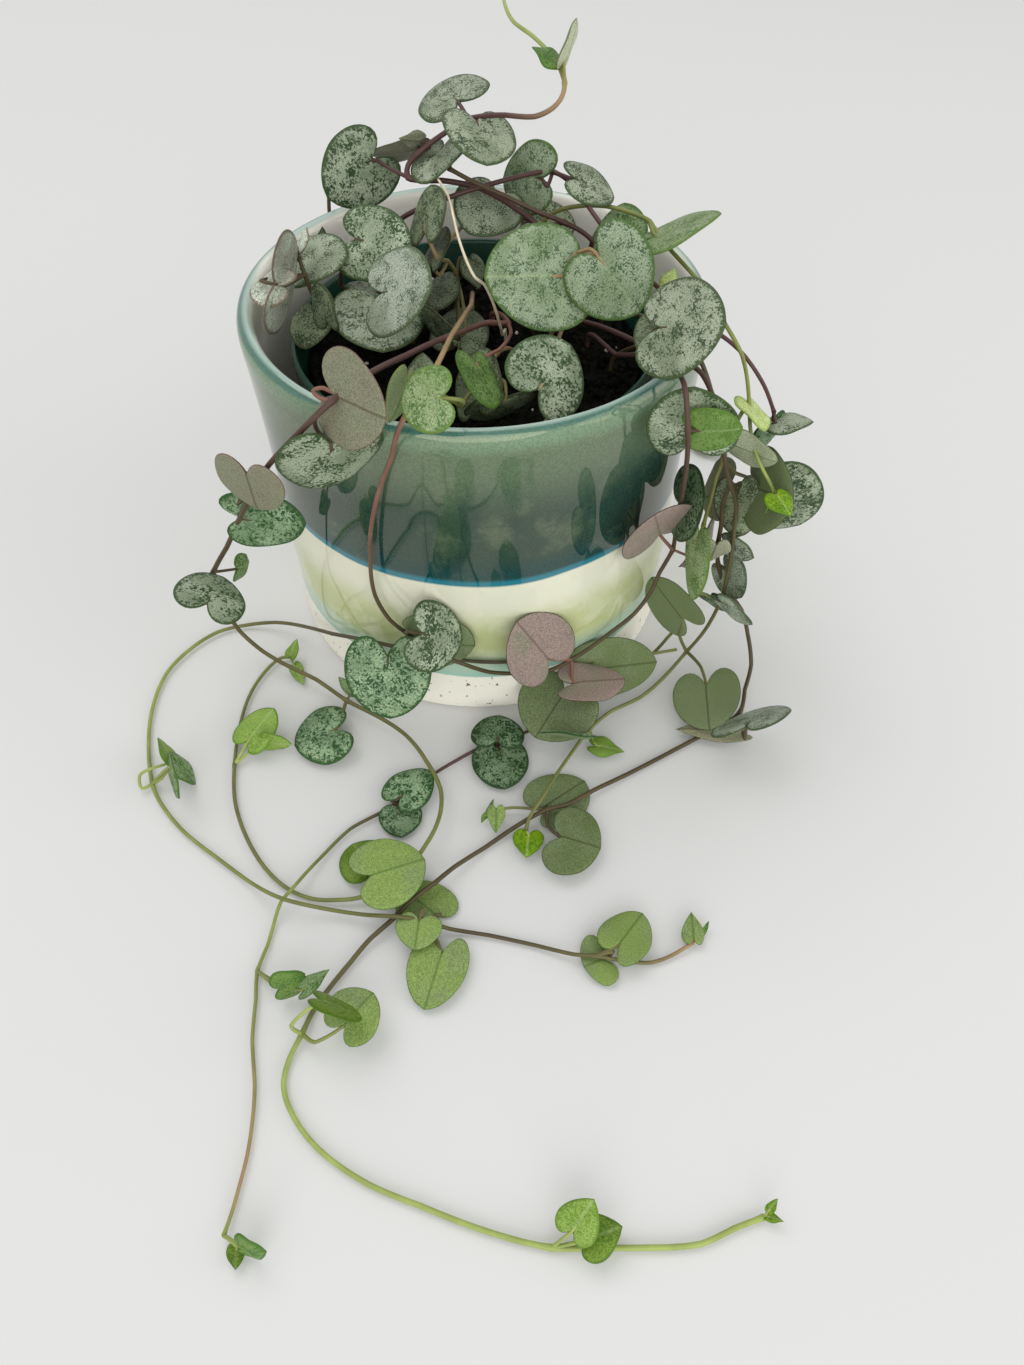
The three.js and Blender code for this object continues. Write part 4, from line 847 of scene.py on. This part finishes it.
# How fine each pattern of a leaf is, and the two colours that all leaves share
SPECKS = 2.4
CLUSTERS = 0.36
STREAKS = 1.6
NET = 0.62
PATCHES = 0.17
GRAIN = 5.5
TEETH = 7.0
RIB_SHADE = shade(68, 74, 54)
FADED_SHADE = shade(46, 51, 39)


def leaf_mottling(paint, place, cover, specks):
    """Where the dark specks lie: finer ones gathered in clusters, more of them the higher the cover."""
    clusters = paint.noise(place, CLUSTERS, 2.0)
    mottle = paint.plus(paint.times(specks, 0.64), paint.times(clusters, 0.36))
    level = paint.plus(0.605, paint.times(cover, -0.21))
    return paint.step(paint.minus(mottle, level), -0.008, 0.02)


def leaf_rays(paint, aside, along, tone):
    """Places that change fast round the notch and slowly outwards, so that patterns there are rays."""
    angle = paint.maths("ARCTAN2", aside, along)
    square = paint.plus(paint.maths("POWER", aside, 2.0), paint.maths("POWER", along, 2.0))
    out = paint.maths("SQRT", square)
    return paint.node("CombineXYZ", {0: paint.times(angle, 5.0), 1: paint.times(out, 0.25), 2: tone})


def leaf_midrib(paint, colour, aside, rib, blotch):
    """A lighter midrib where rib is above 0, and a darker one where it is below."""
    narrow = paint.step(paint.maths("ABSOLUTE", aside), 0.32, 0.08)
    lighter = paint.times(narrow, paint.maths("MAXIMUM", rib, 0.0))
    darker = paint.times(narrow, paint.maths("MAXIMUM", paint.times(rib, -1.0), 0.0))
    return paint.mix(darker, paint.mix(lighter, colour, RIB_SHADE), blotch)


def leaf_margin(paint, colour, inwards, rays, is_upper, edge):
    """A margin in the edge's colour, uneven on the upper face and fine underneath."""
    teeth = paint.times(paint.minus(paint.noise(rays, TEETH, 2.0), 0.5), 1.8)
    margin = paint.plus(inwards, paint.times(teeth, is_upper))
    margin = paint.plus(margin, paint.step(is_upper, 0.0, 1.0, 0.45, 0.0))
    return paint.mix(paint.step(margin, 0.72, 0.36, 0.0, 0.95), colour, edge)


def leaf_paint():
    """Silver or green blades with dark specks, pale veins, a coloured margin and a midrib. The
    underside is smoother, with faded patches, a darker midrib and a fine dark edge."""
    paint = Paint("leaf")
    grain = paint.value("grain")
    aside, along, _ = paint.parts(grain)
    inwards, size, tone = paint.parts(paint.value("traits"))
    cover, rib, _ = paint.parts(paint.value("amounts"))
    is_upper = paint.step(cover, 0.05, 0.15)
    is_under = paint.minus(1.0, is_upper)
    ground, blotch, edge = paint.value("ground"), paint.value("blotch"), paint.value("edge")
    sized = paint.node("VectorMath", {0: grain, "Scale": paint.maths("DIVIDE", 1.0, size)}, operation="SCALE")
    specks = paint.noise(sized, SPECKS, 3.0, 0.65)
    mask = leaf_mottling(paint, sized, cover, specks)
    colour = paint.mix(paint.times(mask, paint.step(is_upper, 0.0, 1.0, 0.3, 1.0)), ground, blotch)

    # Pale streaks that fan out from the notch, and on well mottled leaves a pale net
    rays = leaf_rays(paint, aside, along, tone)
    streaks = paint.step(paint.noise(rays, STREAKS, 3.0), 0.54, 0.68, 0.0, 0.4)
    colour = paint.mix(paint.times(streaks, is_upper), colour, ground)
    ring = paint.node("TexVoronoi", {"Vector": sized, "Scale": NET}, "Distance", feature="DISTANCE_TO_EDGE")
    net = paint.times(paint.step(ring, 0.12, 0.03), paint.step(cover, 0.44, 0.52, 0.0, 0.55))
    colour = paint.mix(net, colour, ground)

    # Wide patches of the margin's colour, faded ones underneath, and a fine grain
    wide = paint.step(paint.noise(grain, PATCHES, 1.0), 0.42, 0.66, 0.0, 0.4)
    colour = paint.mix(paint.times(wide, is_upper), colour, edge)
    colour = paint.mix(paint.times(wide, is_under), colour, FADED_SHADE)
    colour = paint.dim(colour, paint.step(paint.noise(grain, GRAIN, 2.0), 0.3, 0.7, 0.66, 1.36))
    colour = leaf_midrib(paint, colour, aside, rib, blotch)
    colour = paint.dim(leaf_margin(paint, colour, inwards, rays, is_upper, edge), tone)
    paint.bump(paint.minus(specks, mask), 0.3, 0.06)
    return paint.finish(colour, paint.step(specks, 0.3, 0.7, 0.36, 0.52), 0.22)


def tinted_paint(name, scale, tones, roughness, relief, specular):
    """A material whose colour is on the vertices and varies a little, between two tones."""
    paint = Paint(name)
    place = paint.node("TexCoord", {}, "Object")
    grain = paint.noise(place, scale, 3.0)
    colour = paint.dim(paint.value("tint"), paint.step(grain, 0.35, 0.65, *tones))
    paint.bump(grain, 0.4, relief)
    return paint.finish(colour, roughness, specular)


# The cup's glazes. Each starts with the colour at its lowest edge, and the next ones come in between
# two heights.
POOLED_GREEN = shade(62, 78, 72)
CREAM_FOOT = shade(66, 78, 70)
CREAM_BANDS = [
    (13, 19, shade(74, 77, 56)),
    (23, 32, shade(86, 86, 78)),
]
CREAM_CLOUD = shade(88, 89, 80)
SEAM_BLUE = shade(12, 46, 53)
DARK_FOOT = shade(5, 24, 25)
DARK_BANDS = [
    (38, 44, shade(15, 25, 22)),
    (50, 64, shade(35, 43, 34)),
    (65, 68, shade(42, 53, 43)),
    (68.9, 69.5, shade(24, 42, 38)),
]
DARK_CLOUD = shade(48, 53, 40)
BARE_CLAY = shade(95, 94, 89)
CLAY_SPECK = shade(40, 29, 20)
INSIDE_CREAM = shade(96, 95, 91)
INSIDE_BANDS = [
    (69.3, 70, shade(70, 80, 77)),
]
GOLDEN_GLOSS = (1, 0.92, 0.68)
GLAZE_SWAY = 1.6  # how far the glaze's edges wander up and down


def outer_glaze(paint, height, cloud, grain):
    """The cup's outside by height: cream glaze with a pooled green edge, a blue line, and dark green
    glaze that turns paler below the lip, with a teal line on it."""
    cream = paint.layers(height, CREAM_FOOT, CREAM_BANDS)
    cream = paint.mix(paint.step(cloud, 0.52, 0.62, 0.0, 0.3), cream, CREAM_CLOUD)
    cream = paint.mix(paint.step(height, GLAZE_END + 2.2, GLAZE_END + 0.6), cream, POOLED_GREEN)
    dark = paint.layers(height, DARK_FOOT, DARK_BANDS)
    dark = paint.mix(paint.step(cloud, 0.5, 0.72, 0.0, 0.3), dark, DARK_CLOUD)
    dark = paint.dim(dark, paint.step(grain, 0.35, 0.65, 0.86, 1.14))
    upper = paint.mix(paint.step(height, BAND_SEAM + 0.5, BAND_SEAM + 1.5), SEAM_BLUE, dark)
    return paint.mix(paint.step(height, BAND_SEAM - 0.6, BAND_SEAM), cream, upper)


def glaze_paint():
    """Bare speckled clay at the cup's foot and glaze above it, and cream glaze with a pale turquoise
    edge inside."""
    paint = Paint("glaze")
    place = paint.node("TexCoord", {}, "Object")
    _, _, height = paint.parts(place)
    height = paint.times(height, 1000.0)
    sway = paint.noise(place, 45.0, 2.0)
    height = paint.plus(height, paint.times(paint.minus(sway, 0.5), GLAZE_SWAY))
    cloud = paint.noise(place, 120.0, 4.0, 0.6)
    fleck = paint.noise(place, 900.0, 2.0)
    grain = paint.noise(place, 2600.0, 2.0)
    clay = paint.mix(paint.step(fleck, 0.66, 0.72), BARE_CLAY, CLAY_SPECK)
    glaze = outer_glaze(paint, height, cloud, grain)
    outside = paint.mix(paint.step(height, GLAZE_END - 0.2, GLAZE_END + 0.2), clay, glaze)
    inside = paint.layers(height, INSIDE_CREAM, INSIDE_BANDS)
    within, _, _ = paint.parts(paint.value("within"))
    colour = paint.mix(within, outside, inside)
    glazed = paint.maths("MAXIMUM", paint.step(height, GLAZE_END - 0.2, GLAZE_END + 0.3), within)
    paint.bump(paint.mix(glazed, grain, sway), 0.35, 0.25)
    roughness = paint.minus(0.85, paint.times(glazed, 0.82))
    return paint.finish(colour, roughness, 0.9, GOLDEN_GLOSS)


def plain_paint(name, colour, roughness, specular=0.5):
    return Paint(name).finish(colour, roughness, specular)


# The cup, the nursery pot and the soil

CUP_SPACING = 1.2
# The nursery pot's rolled rim, from outside to inside: aside of its widest circle, and up from its top
NURSERY_ROLL = [(-0.3, -4.6), (-0.05, -0.8), (-0.25, -0.2), (-0.55, 0), (-0.85, -0.2), (-1.05, -0.8)]
SOIL_SEED = 5
LUMP_STRETCH = (0.6, 1.3)  # along each direction
LUMP_UNEVEN = (0.75, 1.2)  # at each corner


def make_cup():
    foot = [(0, 0), (37.8, 0), (38.6, 0.1), (39.0, 0.4), (39.3, 0.9), (39.35, 2), (39.4, 5)]
    wall = [(39.5, 10), (39.8, 18), (40.2, 27), (40.3, BAND_SEAM), (40.8, 50), (41.6, 62)]
    lip = [
        (LIP_OUTER, 67), (41.95, 68.2), (41.6, 69.2), (41.0, 69.8), (40.4, CUP_HEIGHT), (39.8, 69.8),
        (39.3, 69.2), (LIP_INNER, 68),
    ]
    inner = [(radius - WALL, height) for radius, height in reversed(wall)]
    floor = [(34, 6.2), (31, CUP_FLOOR), (0, CUP_FLOOR)]
    outline = [(radius, height, 0) for radius, height in foot + wall + lip + inner + floor]
    smooth, _ = curve_through(outline, CUP_SPACING)
    smooth = np.clip(smooth, (0, 0, 0), (LIP_OUTER, CUP_HEIGHT, 0))
    top = int(np.argmax(smooth[:, 1]))
    points, faces = turned(smooth[:, :2], CUP_SIDES)
    # The inside's glaze comes in over three rings at the top of the lip
    within = np.repeat(np.clip((np.arange(len(smooth)) - top + 2) / 3, 0, 1), CUP_SIDES)
    pile = Pile()
    pile.add(points, faces, within=within[:, None])
    pile.make("glazed_cup", glaze_paint(), "glazed_stoneware", "cup")


def make_nursery_pot():
    bottom = CUP_FLOOR + GAP
    outside = [(0, bottom), (NURSERY_BASE, bottom), (NURSERY_NECK, NURSERY_TOP - NURSERY_LIP)]
    rim = [(NURSERY_RIM + aside, NURSERY_TOP + up) for aside, up in NURSERY_ROLL]
    floor = bottom + NURSERY_WALL
    inside = [
        (NURSERY_NECK - NURSERY_WALL, NURSERY_TOP - NURSERY_LIP),
        (NURSERY_BASE - NURSERY_WALL, floor), (0, floor),
    ]
    pile = Pile()
    pile.add(*turned(outside + rim + inside, NURSERY_SIDES))
    plastic = plain_paint("nursery_plastic", shade(12, 28, 22), 0.2)
    pile.make("nursery_pot_shell", plastic, "nursery_plastic", "nursery_pot")


def soil_height(x, y):
    place = Vector((x, y, 3.7))
    rough = noise.noise(place * 0.35) * 0.7 + noise.noise(place * 1.1) * 0.5
    return SOIL_TOP + 0.3 + rough


def lump(rng):
    """An uneven little ball of 20 faces: unit vertices and faces."""
    golden = (1 + 5**0.5) / 2
    flat = [(x, y, 0) for y in (golden, -golden) for x in (-1, 1)]
    corners = flat + [(0, x, y) for x, y, _ in flat] + [(y, 0, x) for x, y, _ in flat]
    faces = [
        (0, 11, 5), (0, 5, 1), (0, 1, 7), (0, 7, 10), (0, 10, 11), (1, 5, 9), (5, 11, 4), (11, 10, 2),
        (10, 7, 6), (7, 1, 8), (3, 9, 4), (3, 4, 2), (3, 2, 6), (3, 6, 8), (3, 8, 9), (4, 9, 5),
        (2, 4, 11), (6, 2, 10), (8, 6, 7), (9, 8, 1),
    ]
    points = np.array(corners) / math.hypot(1, golden)
    stretch = np.array([rng.uniform(*LUMP_STRETCH) for _ in range(3)])
    uneven = np.array([rng.uniform(*LUMP_UNEVEN) for _ in corners])
    return points * stretch * uneven[:, None], faces


def scatter(pile, rng, colour, count, reach, sizes, rise, tones=None):
    """Lumps strewn over the soil up to reach from the middle. rise is the share of its size by which a
    lump is raised, and tones is how its brightness varies."""
    for _ in range(count):
        r, a = reach * math.sqrt(rng.random()), rng.uniform(0, 2 * math.pi)
        x, y = r * math.cos(a), r * math.sin(a)
        size = rng.uniform(*sizes)
        ball, faces = lump(rng)
        tone = rng.uniform(*tones) if tones else 1
        pile.add(ball * size + (x, y, soil_height(x, y) + size * rise), faces, tint=np.array(colour) * tone)


def make_soil():
    radii = np.linspace(0, NURSERY_NECK - NURSERY_WALL - 0.7, SOIL_RINGS)
    angles = np.linspace(0, 2 * math.pi, SOIL_SIDES, endpoint=False)
    flat = [(r * math.cos(a), r * math.sin(a)) for r in radii for a in angles]
    points = np.array([(x, y, soil_height(x, y)) for x, y in flat])
    skirt = points[-SOIL_SIDES:] * (0.98, 0.98, 0) + (0, 0, SOIL_SKIRT)
    faces = [tuple(reversed(face)) for face in walls(SOIL_RINGS + 1, SOIL_SIDES)]
    pile = Pile()
    pile.add(np.vstack([points, skirt]), faces, tint=shade(8, 8, 6.5))
    rng = random.Random(SOIL_SEED)
    crumbs = dict(count=900, reach=30.5, sizes=(0.25, 0.9), rise=0.3, tones=(0.6, 1.5))
    grains = dict(count=18, reach=29, sizes=(0.3, 0.7), rise=0.7)
    scatter(pile, rng, shade(9, 8.5, 6.5), **crumbs)
    scatter(pile, rng, shade(86, 85, 82), **grains)
    earth = tinted_paint("earth", 900.0, (0.4, 1.3), roughness=0.95, relief=0.3, specular=0.05)
    pile.make("potting_soil", earth, "potting_soil", "soil")


# The room


def make_floor():
    corners = [(x * FLOOR_HALF, y * FLOOR_HALF, 0) for x, y in ((-1, -1), (1, -1), (1, 1), (-1, 1))]
    mesh = bpy.data.meshes.new("floor")
    mesh.from_pydata(corners, [], [(0, 1, 2, 3)])
    mesh.materials.append(plain_paint("floor", shade(85, 85, 84.7), 0.9, 0.2))
    put_in_scene("floor", mesh)


def make_light(name, place, aim, size, power):
    data = bpy.data.lights.new(name, "AREA")
    data.shape = "DISK"
    data.size = size
    data.energy = power
    light = put_in_scene(name, data)
    light.location = place
    light.rotation_euler = (Vector(aim) - Vector(place)).to_track_quat("-Z", "Y").to_euler()


def make_room():
    make_floor()
    world = bpy.data.worlds.new("studio")
    world.use_nodes = True
    background = world.node_tree.nodes["Background"]
    background.inputs["Color"].default_value = (1.0, 1.0, 0.99, 1)
    background.inputs["Strength"].default_value = ROOM_STRENGTH
    bpy.context.scene.world = world
    for name, light in LIGHTS.items():
        make_light(name, *light)


def make_camera():
    data = bpy.data.cameras.new("camera")
    data.lens = CAMERA_LENS
    data.clip_start = NEAREST
    camera = put_in_scene("camera", data)
    turn = (
        Matrix.Rotation(-math.radians(CAMERA_YAW), 4, "Z")
        @ Matrix.Rotation(math.radians(90 - CAMERA_PITCH), 4, "X")
        @ Matrix.Rotation(math.radians(CAMERA_ROLL), 4, "Z")
    )
    camera.matrix_world = Matrix.Translation(Vector(CAMERA_PLACE) / 1000) @ turn
    bpy.context.scene.camera = camera


LEAF = leaf_paint()
STEM = tinted_paint("stem", 260.0, (0.9, 1.1), roughness=0.42, relief=0.12, specular=0.3)
BLADE_FACES = blade_faces()
make_cup()
make_nursery_pot()
make_soil()
for seed, (name, vine) in enumerate(VINES.items()):
    make_vine(name, vine, seed)
make_dry_stem()
make_room()
make_camera()
bpy.context.scene.view_settings.view_transform = "Standard"
